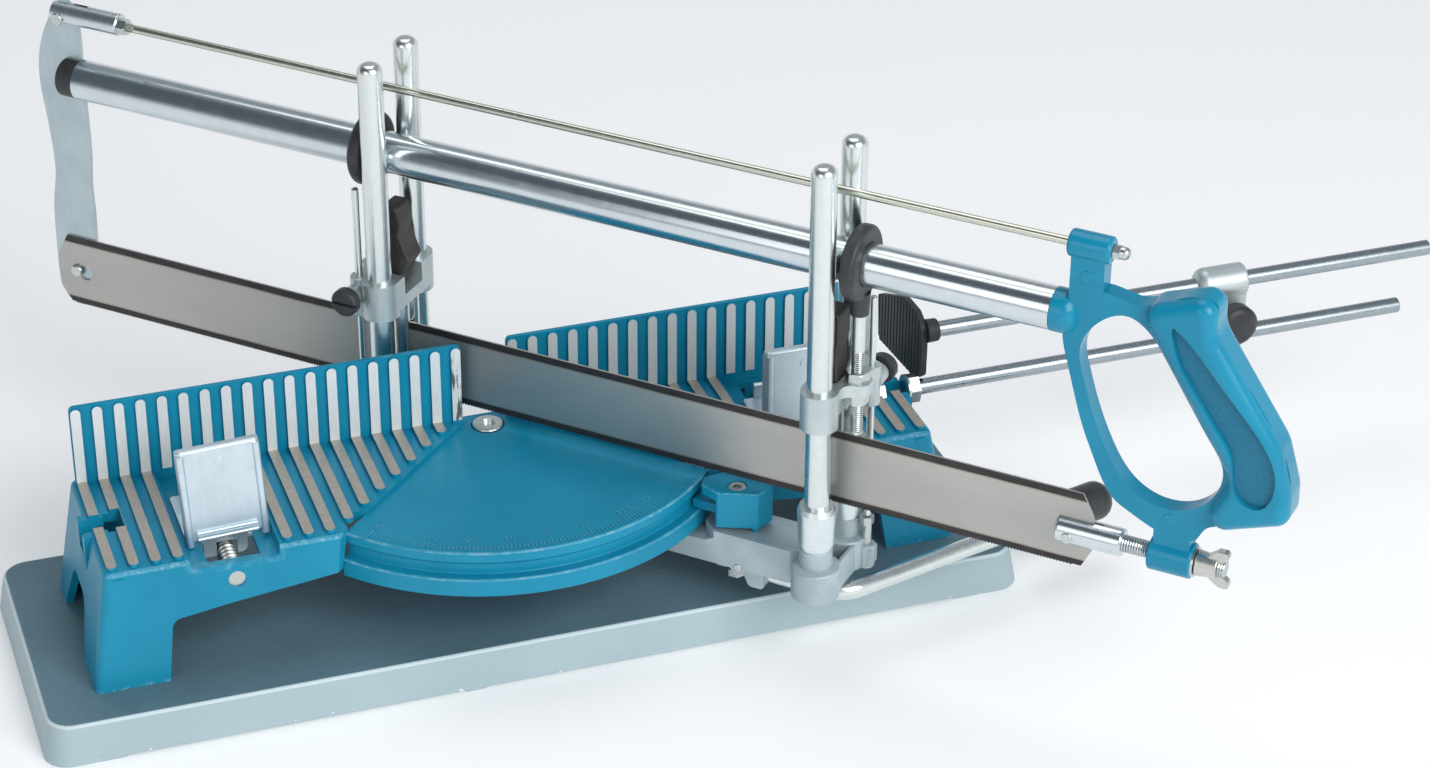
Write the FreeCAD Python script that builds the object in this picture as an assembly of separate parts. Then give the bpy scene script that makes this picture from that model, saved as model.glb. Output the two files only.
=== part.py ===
import FreeCAD, Part
import math
import os

# Manual mitre saw: a ribbed cast table with a protractor sector on a lacquered base board, a swivel
# arm with four guide posts, and a long framed saw that slides in two rings and rises on the posts.
# Millimetres. The origin is on the swivel axis, on the underside of the board. X runs along the
# fence, Y runs away from the operator, Z is up.
# The arm and all that it carries are drawn straight, with the blade along X and the handle at +X,
# and then swung to the mitre of the photograph.

V = FreeCAD.Vector
X_AXIS = V(1, 0, 0)
Y_AXIS = V(0, 1, 0)
Z_AXIS = V(0, 0, 1)

# Driving dimensions: base board
MITRE = -45.0
BOARD_LENGTH = 480.0
BOARD_FRONT = -110.0
BOARD_BACK = 40.0
BOARD_TOP = 20.0
BOARD_CORNER = 12.0
PAD = 1.0

# Driving dimensions: table casting
RIB_TOP = 79.8
TABLE_TOP = 77.8
TABLE_HALF = 202.0
TABLE_FRONT = -77.0
TABLE_BACK = 11.0
FOOT_HALF = 212.5
FOOT_FRONT = -85.6
FOOT_BACK = 12.4
TABLE_WALL = 4.0
RIB_COUNT = 19
RIB_PITCH = 10.2
RIB_WIDTH = 4.7
FENCE_GAP = 12.0
FENCE_FACE = 2.7
FENCE_BACK = 7.7
FENCE_TOP = 120.0
RIB_HEAD = 119.5
TROUGH_FLOOR = 73.4
TROUGH_HALF = 20.3
SLOT_FRONT = -73.7
SECTOR_TOP = 75.8
SECTOR_RADIUS = 115.0
FLANGE_RADIUS = 118.4
SECTOR_SPAN = 180.0
CLAMP_X = 141.8
CLAMP_Z = 64.9
ROD_END_RADIUS = 4.0
ROD_CREST_RADIUS = 4.9
ROD_ROOT_RADIUS = 4.2
RAIL_Y = -33.0
RAIL_Z = 76.0
RAIL_PAD_X = 205.4

# Driving dimensions: arm and posts
POST_RADIUS = 6.0
POST_SIDE = 16.3
POST_FOOT = 44.0
POST_TOP = 266.5
FRONT_POST = 184.0
REAR_POST = -47.6
ARM_HALF = 12.5
ARM_WALL = 3.0
ARM_BOTTOM = 40.5
ARM_LOW = 52.0
ARM_HIGH = 58.5
RUN = 0.05

# Driving dimensions: carriages
BRIDGE_BOTTOM = 133.6
BRIDGE_TOP = 152.4
STEM_OUT = 11.5
DEPTH_OUT = 11.5
DEPTH_RADIUS = 1.75
GUIDE_IN = 4.0
TUBE_Z = 213.2
SCREW_Z = 144.0
CATCH_Z = 146.0

# Driving dimensions: saw frame
TUBE_RADIUS = 10.0
TUBE_WALL = 1.5
TUBE_START = -224.5
TUBE_END = 288.5
TENSION_Z = 247.6
BLADE_START = -250.2
BLADE_END = 314.0
BLADE_BOTTOM = 83.85
BLADE_WIDTH = 39.0
BLADE_THICK = 1.0
TOOTH_PITCH = 1.6
TOOTH_DEPTH = 0.8
CLEVIS_Z = 102.3
PIN_X = 302.9
PIN_Z = CLEVIS_Z - 0.9
STUD_X = -238.3
STUD_Z = 103.3
RIVET_X = -232.8
RIVET_Z = 246.0
GRIP_HALF = 11.5
RECESS_DEPTH = 2.4


def rounded_wire(corners, place):
    """Closed wire through corners (u, v, radius), with each corner rounded by its own radius."""
    bends = []
    for index, (u, v, radius) in enumerate(corners):
        here = V(u, v, 0)
        back = V(corners[index - 1][0], corners[index - 1][1], 0) - here
        following = corners[(index + 1) % len(corners)]
        ahead = V(following[0], following[1], 0) - here
        back.normalize()
        ahead.normalize()
        if radius == 0:
            bends.append((here, None, here))
            continue
        half = back.getAngle(ahead) / 2
        run = radius / math.tan(half)
        middle = (back + ahead).normalize() * (radius / math.sin(half) - radius)
        bends.append((here + back * run, here + middle, here + ahead * run))
    edges = []
    for index, (start, middle, end) in enumerate(bends):
        if middle is not None:
            edges.append(Part.Arc(place(start), place(middle), place(end)).toShape())
        following = bends[(index + 1) % len(bends)][0]
        if (following - end).Length > 1e-6:
            edges.append(Part.LineSegment(place(end), place(following)).toShape())
    return Part.Wire(edges)


def plan(corners, low, high):
    """Outline in X and Y, raised along Z."""
    wire = rounded_wire(corners, lambda point: V(point.x, point.y, low))
    return Part.Face(wire).extrude(V(0, 0, high - low))


def side(corners, near, far):
    """Outline in X and Z, carried along Y from near to far."""
    wire = rounded_wire(corners, lambda point: V(point.x, near, point.y))
    return Part.Face(wire).extrude(V(0, far - near, 0))


def end_on(corners, left, right):
    """Outline in Y and Z, carried along X from left to right."""
    wire = rounded_wire(corners, lambda point: V(left, point.x, point.y))
    return Part.Face(wire).extrude(V(right - left, 0, 0))


def box(x0, x1, y0, y1, z0, z1):
    return Part.makeBox(x1 - x0, y1 - y0, z1 - z0, V(x0, y0, z0))


def rectangle(x0, x1, y0, y1, radius):
    return [(x0, y0, radius), (x1, y0, radius), (x1, y1, radius), (x0, y1, radius)]


def rod(radius, start, end):
    return Part.makeCylinder(radius, (end - start).Length, start, end - start)


def upright(radius, x, y, low, high):
    return Part.makeCylinder(radius, high - low, V(x, y, low))


def turned(profile, origin, axis):
    """Solid of revolution from corners (radius, height, rounding), stood on origin along axis."""
    wire = rounded_wire(profile, lambda point: V(point.x, 0, point.y))
    shape = Part.Face(wire).revolve(V(0, 0, 0), Z_AXIS, 360)
    shape.Placement = FreeCAD.Placement(origin, FreeCAD.Rotation(Z_AXIS, axis))
    return shape


def hexagon(across, origin, axis, length, turn=0.0):
    """Six-sided prism, measured across its flats."""
    reach = across / math.sqrt(3)
    points = []
    for index in range(6):
        angle = math.radians(60 * index + turn)
        points.append(V(reach * math.cos(angle), reach * math.sin(angle), 0))
    shape = Part.Face(Part.makePolygon(points + points[:1])).extrude(V(0, 0, length))
    shape.Placement = FreeCAD.Placement(origin, FreeCAD.Rotation(Z_AXIS, axis))
    return shape


def spline_edge(points, y):
    """Smooth edge through points (x, z) at depth y."""
    curve = Part.BSplineCurve()
    curve.interpolate([V(x, y, z) for x, z in points])
    return curve.toShape()


def curved(points, near, far):
    """Closed smooth outline through points (x, z), carried along Y from near to far."""
    curve = Part.BSplineCurve()
    curve.interpolate(Points=[V(x, near, z) for x, z in points], PeriodicFlag=True)
    return Part.Face(Part.Wire([curve.toShape()])).extrude(V(0, far - near, 0))


def joined(shapes):
    first = shapes[0]
    return first.multiFuse(shapes[1:]).removeSplitter() if len(shapes) > 1 else first


def group(shapes):
    """Separate solids kept in one node."""
    return Part.makeCompound(shapes)


def mirrored(shape):
    return shape.mirror(V(0, 0, 0), X_AXIS)


def swung(shape):
    """From the straight drawing to the mitre of the photograph."""
    copy = shape.copy()
    copy.rotate(V(0, 0, 0), Z_AXIS, MITRE)
    return copy


def turned_round(shape, x):
    """Half turn about the upright axis at (x, 0)."""
    copy = shape.copy()
    copy.rotate(V(x, 0, 0), Z_AXIS, 180)
    return copy


# Base board

SCREW_X = 196.0
SCREW_FRONT = -72.0
SCREW_BACK = 2.0
SCREW_PLACES = [(x, y) for x in (-SCREW_X, SCREW_X) for y in (SCREW_FRONT, SCREW_BACK)]


def base_board():
    half = BOARD_LENGTH / 2

    def outline(inset, height):
        front = BOARD_FRONT + inset
        corners = rectangle(-half + inset, half - inset, front, BOARD_BACK - inset, BOARD_CORNER)
        return rounded_wire(corners, lambda point: V(point.x, point.y, height))

    board = Part.makeLoft([outline(0, PAD), outline(3, BOARD_TOP)], True, True)
    rim = [edge for edge in board.Edges if edge.BoundBox.ZMin > BOARD_TOP - 0.01]
    board = board.makeFillet(2.0, rim)
    pads = []
    for x0, x1 in ((-half, -195), (195, half)):
        pads.append(plan(rectangle(x0, x1, BOARD_FRONT, BOARD_BACK, BOARD_CORNER), 0, PAD))
    for y0, y1 in ((BOARD_FRONT, BOARD_FRONT + 10), (BOARD_BACK - 10, BOARD_BACK)):
        pads.append(plan(rectangle(-44, -33, y0, y1, 2), 0, PAD))
    pads.append(upright(22, 0, 0, 0, PAD))
    board = joined([board] + pads)
    for x, y in SCREW_PLACES:
        board = board.cut(upright(2.6, x, y, -1, BOARD_TOP + 1))
        board = board.cut(upright(5.5, x, y, -1, 6))
    return board


def board_screws():
    screws = []
    for x, y in SCREW_PLACES:
        profile = [(0, 1.5, 0), (4.2, 1.5, 0.6), (4.8, 6, 0), (2.4, 6, 0), (2.4, 37, 0), (0.8, 40, 0),
                   (0, 40, 0)]
        screws.append(turned(profile, V(x, y, 0), Z_AXIS))
    return group(screws)


# Table casting

def table_block(wall, top):
    """Block with drafted sides; a positive wall gives the hollow inside it."""
    def outline(half, front, back, height, corner):
        corners = rectangle(-half + wall, half - wall, front + wall, back - wall, corner)
        return rounded_wire(corners, lambda point: V(point.x, point.y, height))

    slope = (top - BOARD_TOP) / (RIB_TOP - BOARD_TOP)
    half = FOOT_HALF + (TABLE_HALF - FOOT_HALF) * slope
    front = FOOT_FRONT + (TABLE_FRONT - FOOT_FRONT) * slope
    back = FOOT_BACK + (TABLE_BACK - FOOT_BACK) * slope
    corner = 4.0 if wall == 0 else 2.0
    low = outline(FOOT_HALF, FOOT_FRONT, FOOT_BACK, BOARD_TOP, corner)
    high = outline(half, front, back, top, corner)
    block = Part.makeLoft([low, high], True, True)
    if wall == 0:
        block = block.makeFillet(2.4, [edge for edge in block.Edges if edge.BoundBox.ZMin > top - 0.01])
    return block


def table_arches():
    """Openings under the front and back aprons and between the legs at each end."""
    low = BOARD_TOP - 1
    half = [(85, 90, 0), (92, 59.5, 0), (146.5, 53.6, 40), (173.3, 50, 5), (177.5, low, 0)]
    front = [(-x, z, radius) for x, z, radius in reversed(half)] + half
    back = [(-179, low, 0), (-174, 52, 7), (-100, 55, 0), (-80, 62, 0), (80, 62, 0), (100, 55, 0),
            (174, 52, 7), (179, low, 0)]
    ends = [(-57, low, 0), (-44, 47, 10), (-17, 47, 10), (-6, low, 0)]
    return [side(front, FOOT_FRONT - 5, -60), side(back, -6, FOOT_BACK + 5), end_on(ends, -240, 240)]


def sector():
    """Protractor plate with a grooved rim, turned about the swivel axis."""
    rim = [(0, SECTOR_TOP, 0), (SECTOR_RADIUS, SECTOR_TOP, 1.2), (SECTOR_RADIUS, 70.6, 0.8), (113, 68.6, 0),
           (113, 63.3, 0.8), (FLANGE_RADIUS, 63.3, 1.0), (FLANGE_RADIUS, 54, 0.6), (114.6, 54, 0.6),
           (110, 62, 2), (109.4, 71.6, 2), (0, 71.6, 0)]
    wire = rounded_wire(rim, lambda point: V(point.x, 0, point.y))
    plate = Part.Face(wire)
    plate.rotate(V(0, 0, 0), Z_AXIS, -90 - SECTOR_SPAN / 2)
    return plate.revolve(V(0, 0, 0), Z_AXIS, SECTOR_SPAN)


def rib_places():
    """Rib centre and the front end of its run on the table, for the left side."""
    places = []
    for index in range(RIB_COUNT):
        x = -197.8 + index * RIB_PITCH
        front = max(TABLE_FRONT + 2.1, x + FENCE_GAP + FENCE_FACE + RIB_WIDTH / 2 + 0.7)
        places.append((x, front))
    return places


def ribs():
    """Ribs that run down the fence and forward over the table, for the left side."""
    half = RIB_WIDTH / 2
    shapes = []
    for x, front in rib_places():
        tall = box(x - half, x + half, FENCE_FACE, 5, TABLE_TOP - 0.5, RIB_HEAD - half)
        cap = rod(half, V(x, FENCE_FACE, RIB_HEAD - half), V(x, 5, RIB_HEAD - half))
        shapes += [tall, cap]
        if front < FENCE_FACE - 2:
            flat = box(x - half, x + half, front + half, FENCE_FACE + 0.5, TABLE_TOP - 0.5, RIB_TOP)
            nose = upright(half, x, front + half, TABLE_TOP - 0.5, RIB_TOP)
            shapes += [flat, nose]
    return shapes


def fence():
    """Left half of the fence; its inner end is bevelled at the back for the mitred blade."""
    end = -FENCE_GAP + 0.6
    outline = [(-200.6, TABLE_TOP - 1, 0), (-200.6, FENCE_TOP, 2.5), (end, FENCE_TOP, 2.5),
               (end, TABLE_TOP - 1, 0)]
    plate = side(outline, FENCE_FACE + 1.6, FENCE_BACK)
    crest = [edge for edge in plate.Edges
             if edge.BoundBox.ZMin > FENCE_TOP - 0.01 and edge.BoundBox.YMin > FENCE_BACK - 0.01]
    plate = plate.makeFillet(1.6, crest)
    bevel = plan([(end - 4, FENCE_BACK + 1, 0), (end + 1.4, 4.9, 0), (end + 1.4, FENCE_BACK + 1, 0)],
                 TABLE_TOP + 0.01, FENCE_TOP + 1)
    return plate.cut(bevel)


def clamp_windows():
    """Trough and slot in the left half of the table for the clamp carriage."""
    x = -CLAMP_X
    low = TROUGH_FLOOR
    high = RIB_TOP + 0.2
    trough = side([(x - TROUGH_HALF, low, 0.6), (x - TROUGH_HALF - 1.4, high, 0),
                   (x + TROUGH_HALF + 1.4, high, 0), (x + TROUGH_HALF, low, 0.6)],
                  TABLE_FRONT - 3, FENCE_FACE + 1.6)
    slot = box(x - 12.4, x + 12.4, SLOT_FRONT, FENCE_FACE - 0.5, 60, 90)
    return [trough, slot]


def rail_slots():
    """Slot for the length stop's rail in one end of the table, with a pocket for its nut."""
    neck = box(-230, -193, RAIL_Y - 5.5, RAIL_Y + 5.5, 65.5, 90)
    pocket = box(-193.5, -185.5, RAIL_Y - 8, RAIL_Y + 8, 65.5, 90)
    return [neck, pocket]


def trough_slab():
    """Thick floor under the left trough."""
    return box(-CLAMP_X - 24, -CLAMP_X + 24, TABLE_FRONT + 2, TABLE_BACK - 2,
               TROUGH_FLOOR - 3.2, TABLE_TOP - 2)


def rail_pad():
    """Upright pad on the drafted end of the table, round the rail slot."""
    face = -RAIL_PAD_X
    outline = [(face + 8, TABLE_TOP, 0), (face, TABLE_TOP, 1.5), (face, 56, 0), (face + 8, 56, 0)]
    return side(outline, RAIL_Y - 10.5, RAIL_Y + 10)


def table_casting():
    block = table_block(0, TABLE_TOP).cut(table_block(TABLE_WALL, TABLE_TOP - 4.5))
    for arch in table_arches():
        block = block.cut(arch)
    reach = 118
    inner = reach + FENCE_GAP + FENCE_FACE
    wedge = plan([(-inner, -reach, 0), (inner, -reach, 0), (FENCE_GAP, FENCE_FACE, 0), (FENCE_GAP, 20, 0),
                  (-FENCE_GAP, 20, 0), (-FENCE_GAP, FENCE_FACE, 0)], 40, 100)
    block = block.cut(wedge)
    outer = plan([(-inner - 2, -reach - 1, 0), (inner + 2, -reach - 1, 0), (FENCE_GAP, FENCE_FACE + 1, 0),
                  (FENCE_GAP, TABLE_BACK, 0), (-FENCE_GAP, TABLE_BACK, 0), (-FENCE_GAP, FENCE_FACE + 1, 0)],
                 50, SECTOR_TOP)
    saddle = plan([(-14, -3, 0), (14, -3, 0), (14, TABLE_BACK, 0), (-14, TABLE_BACK, 0)], 71.6, SECTOR_TOP)
    plate = sector().common(outer)
    boss = upright(11.5, 0, 0, 53.5, 73)
    webs = []
    for way in (-1, 1):
        webs.append(box(way * CLAMP_X - 8, way * CLAMP_X + 8, FENCE_FACE - 1, TABLE_BACK - 1, 57, 74))
    feet = [upright(6.5, x, y, BOARD_TOP, 75) for x, y in SCREW_PLACES]
    left = [fence(), rail_pad(), trough_slab()] + ribs()
    halves = left + [mirrored(shape) for shape in left]
    body = block.multiFuse([plate, saddle, boss] + webs + feet + halves)
    openings = []
    for shape in clamp_windows() + rail_slots():
        openings += [shape, mirrored(shape)]
    for way in (-1, 1):
        openings.append(rod(ROD_END_RADIUS, V(way * CLAMP_X, -100, CLAMP_Z), V(way * CLAMP_X, 6.4, CLAMP_Z)))
    for x, y in SCREW_PLACES:
        openings.append(upright(2.4, x, y, 0, 42))
    openings.append(upright(4.0, 0, 0, 40, 90))
    openings.append(upright(8.3, 0, 0, 74.4, 90))
    for opening in openings:
        body = body.cut(opening)
    return joined([body] + degree_strokes())


def degree_strokes():
    """Degree strokes raised near the rim, from 45 to 45, every fifth one longer."""
    strokes = []
    outer = SECTOR_RADIUS - 2.2
    for degree in range(-45, 46):
        length = 5.5 if degree % 5 == 0 else 3.4
        stroke = box(outer - length, outer, -0.25, 0.25, SECTOR_TOP - 0.5, SECTOR_TOP + 0.4)
        stroke.rotate(V(0, 0, 0), Z_AXIS, -90 + degree)
        strokes.append(stroke)
    return strokes


def clamp_rods():
    """Serrated rods that the clamps grip, fixed in the front apron and under the fence."""
    rods = []
    crest = ROD_CREST_RADIUS
    root = ROD_ROOT_RADIUS
    for way in (-1, 1):
        x = way * CLAMP_X
        pieces = [rod(root - 0.1, V(x, -72, CLAMP_Z), V(x, 1, CLAMP_Z)),
                  rod(ROD_END_RADIUS, V(x, -78.6, CLAMP_Z), V(x, -70, CLAMP_Z)),
                  rod(ROD_END_RADIUS, V(x, -1, CLAMP_Z), V(x, 6.4, CLAMP_Z))]
        for index in range(22):
            profile = [(0, -1.1, 0), (root, -1.1, 0), (crest, -0.4, 0), (crest, 0.4, 0), (root, 1.1, 0),
                       (0, 1.1, 0)]
            pieces.append(turned(profile, V(x, -67.5 + index * 3.0, CLAMP_Z), Y_AXIS))
        rods.append(joined(pieces))
    return group(rods)


def pivot_bolt():
    head = turned([(0, 0, 0), (7.6, 0, 0), (7.6, 2.4, 0.8), (3.6, 2.4, 0.4), (3.6, 0.6, 0), (0, 0.6, 0)],
                  V(0, 0, 74.4), Z_AXIS)
    return joined([head, upright(4.0, 0, 0, 31.5, 74.8)])


def pivot_fasteners():
    """Nut under the hub, and thrust washers above and below it."""
    pieces = [hexagon(13, V(0, 0, 32.6), Z_AXIS, 6.4).cut(upright(4.0, 0, 0, 30, 42))]
    for low, high in ((ARM_LOW + 0.05, 53.45), (39.1, ARM_BOTTOM - 0.05)):
        pieces.append(upright(10.5, 0, 0, low, high).cut(upright(4.0, 0, 0, low - 1, high + 1)))
    return group(pieces)


# Length stop on the right

RAIL_START = 205.45
RAIL_END = 480.0
STOP_ROD_Z = 107.4
STOP_ROD_START = 215.6
STOP_ROD_END = 494.0
HOLDER_START = 361.0
HOLDER_END = 388.5
KNOB_X = 378.0
KNOB_Z = 91.5


def stop_rail():
    shaft = rod(4.0, V(RAIL_START, RAIL_Y, RAIL_Z), V(RAIL_END, RAIL_Y, RAIL_Z))
    return shaft.makeChamfer(0.5, [edge for edge in shaft.Edges if edge.BoundBox.XMin > RAIL_END - 0.01])


def stop_rail_nuts():
    """Washer and nut at the rail's foot, and the block in the table's slot that they draw up to."""
    bore = rod(4.0, V(200, RAIL_Y, RAIL_Z), V(230, RAIL_Y, RAIL_Z))
    head = hexagon(13, V(187.85, RAIL_Y, RAIL_Z), X_AXIS, 5.6, 30)
    tongue = box(190, RAIL_START, RAIL_Y - 4.5, RAIL_Y + 4.5, 66.5, 70.5)
    washer = rod(7.5, V(RAIL_START, RAIL_Y, RAIL_Z), V(206.6, RAIL_Y, RAIL_Z))
    outer = hexagon(13, V(206.6, RAIL_Y, RAIL_Z), X_AXIS, 5.3, 15)
    return group([joined([head, tongue]), washer.cut(bore), outer.cut(bore)])


def stop_holder():
    """Zinc holder: a sleeve on the stop rod and a web down to the rail."""
    y = RAIL_Y
    start = HOLDER_START + 0.6
    length = HOLDER_END - start
    profile = [(0, 0, 0), (8.6, 0, 6), (8.6, length, 1.5), (0, length, 0)]
    sleeve = turned(profile, V(start, y, STOP_ROD_Z), X_AXIS)
    web = box(HOLDER_END - 17, HOLDER_END - 0.4, y - 6.5, y + 6.5, RAIL_Z, STOP_ROD_Z)
    profile = [(0, 0, 0), (7.6, 0, 1.5), (7.6, 17, 1.5), (0, 17, 0)]
    shoe = turned(profile, V(HOLDER_END - 17, y, RAIL_Z), X_AXIS)
    body = joined([sleeve, web, shoe])
    body = body.cut(rod(4.0 + RUN, V(340, y, RAIL_Z), V(420, y, RAIL_Z)))
    body = body.cut(rod(4.0 + RUN, V(340, y, STOP_ROD_Z), V(420, y, STOP_ROD_Z)))
    return body.cut(rod(2.5 + RUN, V(KNOB_X, y - 20, KNOB_Z), V(KNOB_X, y + 4, KNOB_Z)))


def stop_knob():
    """Black knob with its screw, lying along Y."""
    start = V(KNOB_X, RAIL_Y - 8.9, KNOB_Z)
    profile = [(0, 0, 0), (6, 0, 1), (6, 2, 0), (10.2, 3.2, 1.5), (10.8, 11, 2.5), (8, 13, 3), (0, 13, 0)]
    grip = turned(profile, start, V(0, -1, 0))
    screw = rod(2.5, V(KNOB_X, RAIL_Y + 3, KNOB_Z), V(KNOB_X, RAIL_Y - 12, KNOB_Z))
    return joined([grip, screw])


def stop_rod():
    shaft = rod(4.0, V(STOP_ROD_START, RAIL_Y, STOP_ROD_Z), V(STOP_ROD_END, RAIL_Y, STOP_ROD_Z))
    return shaft.makeChamfer(0.5, [edge for edge in shaft.Edges if edge.BoundBox.XMin > STOP_ROD_END - 0.01])


def stop_plate():
    """Black stop plate with upright grooves and its ferrule on the end of the stop rod."""
    outline = [(23.4, 99.5, 3), (21.5, 74.5, 2), (-28.3, 78.5, 3), (-35.6, 84, 3), (-36.2, 100, 6),
               (-34.6, 111, 5), (-26, 115.6, 5), (-9.7, 115, 12)]
    plate = end_on(outline, 212.6, 215.6)
    profile = [(0, 0, 0), (6, 0, 0), (5.7, 6.2, 0.9), (0, 6.2, 0)]
    ferrule = turned(profile, V(215.4, RAIL_Y, STOP_ROD_Z), X_AXIS)
    body = joined([plate, ferrule])
    for index in range(14):
        y = -31 + index * 4.0
        body = body.cut(rod(0.8, V(212.2, y, 70), V(212.2, y, 120)))
    return body.cut(rod(4.0, V(STOP_ROD_START, RAIL_Y, STOP_ROD_Z), V(240, RAIL_Y, STOP_ROD_Z)))


# Work clamps

JAW_FACE = -60.0
JAW_HALF = 19.4
JAW_TOP = 125.8
JAW_LOW = 77.6
JAW_FOOT = 74.5


def jaw(x):
    """Pressed jaw: rolled side rims down to its feet, a short top flange and a folded lip below."""
    y = JAW_FACE
    outer = plan(rectangle(x - JAW_HALF, x + JAW_HALF, y, y + 8, 2.4), JAW_FOOT, JAW_TOP)
    crown = [edge for edge in outer.Edges
             if edge.BoundBox.ZMin > JAW_TOP - 0.01 and edge.BoundBox.YMax < y + 2.5]
    outer = outer.makeFillet(1.4, crown)
    inside = JAW_HALF - 1.5
    outer = outer.cut(box(x - inside, x + inside, y + 1.5, y + 9, JAW_FOOT - 1, JAW_TOP - 1.5))
    outer = outer.cut(box(x - inside, x + inside, y + 4, y + 9, JAW_FOOT - 1, JAW_TOP + 1))
    slope = [(y + 4, JAW_TOP + 1, 0), (y + 4, JAW_TOP, 0), (y + 9, JAW_TOP - 9, 0), (y + 9, JAW_TOP + 1, 0)]
    outer = outer.cut(end_on(slope, x - JAW_HALF - 1, x + JAW_HALF + 1))
    outer = outer.cut(box(x - JAW_HALF + 3.4, x + JAW_HALF - 3.4, y - 1, y + 3, JAW_FOOT - 1, JAW_LOW))
    pieces = [outer]
    for left in (x - JAW_HALF, x + JAW_HALF - 3.4):
        rim = plan(rectangle(left, left + 3.4, y - 1.2, y + 3, 1.2), JAW_FOOT, JAW_TOP - 1.6)
        ends = [edge for edge in rim.Edges if edge.BoundBox.ZMax < JAW_FOOT + 0.01]
        pieces.append(rim.makeFillet(0.6, ends))
    profile = [(0, 0, 0), (2.4, 0, 0), (2.4, 0.4, 0.3), (0, 0.4, 0)]
    dimple = turned(profile, V(x, y + 0.1, JAW_TOP - 8), V(0, -1, 0))
    pieces += [rod(1.1, V(x - 14.2, y - 1.2, JAW_LOW + 1.1), V(x + 14.2, y - 1.2, JAW_LOW + 1.1)),
               rod(1.1, V(x - 14.2, y - 0.4, JAW_LOW + 4), V(x + 14.2, y - 0.4, JAW_LOW + 4)),
               box(x - 14.2, x + 14.2, y - 1.2, y + 1, JAW_LOW, JAW_LOW + 2.2), dimple]
    return joined(pieces)


def clamp_jaw(way, lean, shift):
    """Jaw on one side, leaning a little about its rod."""
    shape = jaw(way * CLAMP_X)
    shape.rotate(V(way * CLAMP_X, 0, CLAMP_Z), Y_AXIS, lean)
    shape.translate(V(shift, 0, 0))
    return shape


def clamp_carriage(way):
    """Sheet carriage behind the jaw: it lies on the trough and straddles the rod with two legs."""
    x = way * CLAMP_X
    y = JAW_FACE
    left = x - 18.4 if way < 0 else x - 15.5
    right = x + 15.5 if way < 0 else x + 18.4
    plate = plan(rectangle(left, right, y + 8.8, y + 44.6, 2), TROUGH_FLOOR + 0.2, TROUGH_FLOOR + 1.6)
    tongue = box(x - 12, x + 12, y + 1.6, y + 10, TROUGH_FLOOR + 0.2, TROUGH_FLOOR + 1.6)
    stem = box(x - 10, x + 10, y + 1.6, y + 3.1, TROUGH_FLOOR, JAW_LOW + 8)
    notch = ROD_CREST_RADIUS + RUN
    ledge = TROUGH_FLOOR + 1
    legs = []
    for front, low in ((y + 1.6, 66), (y + 34, 60)):
        leg = side([(x - 11, low, 0.5), (x + 9.6, low, 3.4), (x + 9.6, ledge, 0), (x - 11, ledge, 0)],
                   front, front + 1.6)
        legs.append(leg.cut(box(x - notch, x + notch, front - 1, front + 3, 55, TROUGH_FLOOR + 0.2)))
    tab = box(x - 10, x + 10, y + 43.2, y + 44.6, TROUGH_FLOOR + 0.2, 82)
    roll = rod(1.5, V(x - 10, y + 43.9, 82), V(x + 10, y + 43.9, 82))
    return joined([plate, tongue, stem, tab, roll] + legs)


# Swivel arm

FRONT_STOP = (FRONT_POST + DEPTH_OUT, POST_SIDE)
REAR_STOP = (REAR_POST - DEPTH_OUT, -POST_SIDE)
LUG_X = 141.8
LUG_Z = 41.2
SHOE_SCREW = (136.3, -2.0)
STOP_RADIUS = 2.4
STOP_HEAD = 65.9
STOP_TOP = 69.9


def post_places():
    return [(x, y) for x in (REAR_POST, FRONT_POST) for y in (-POST_SIDE, POST_SIDE)]


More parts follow.
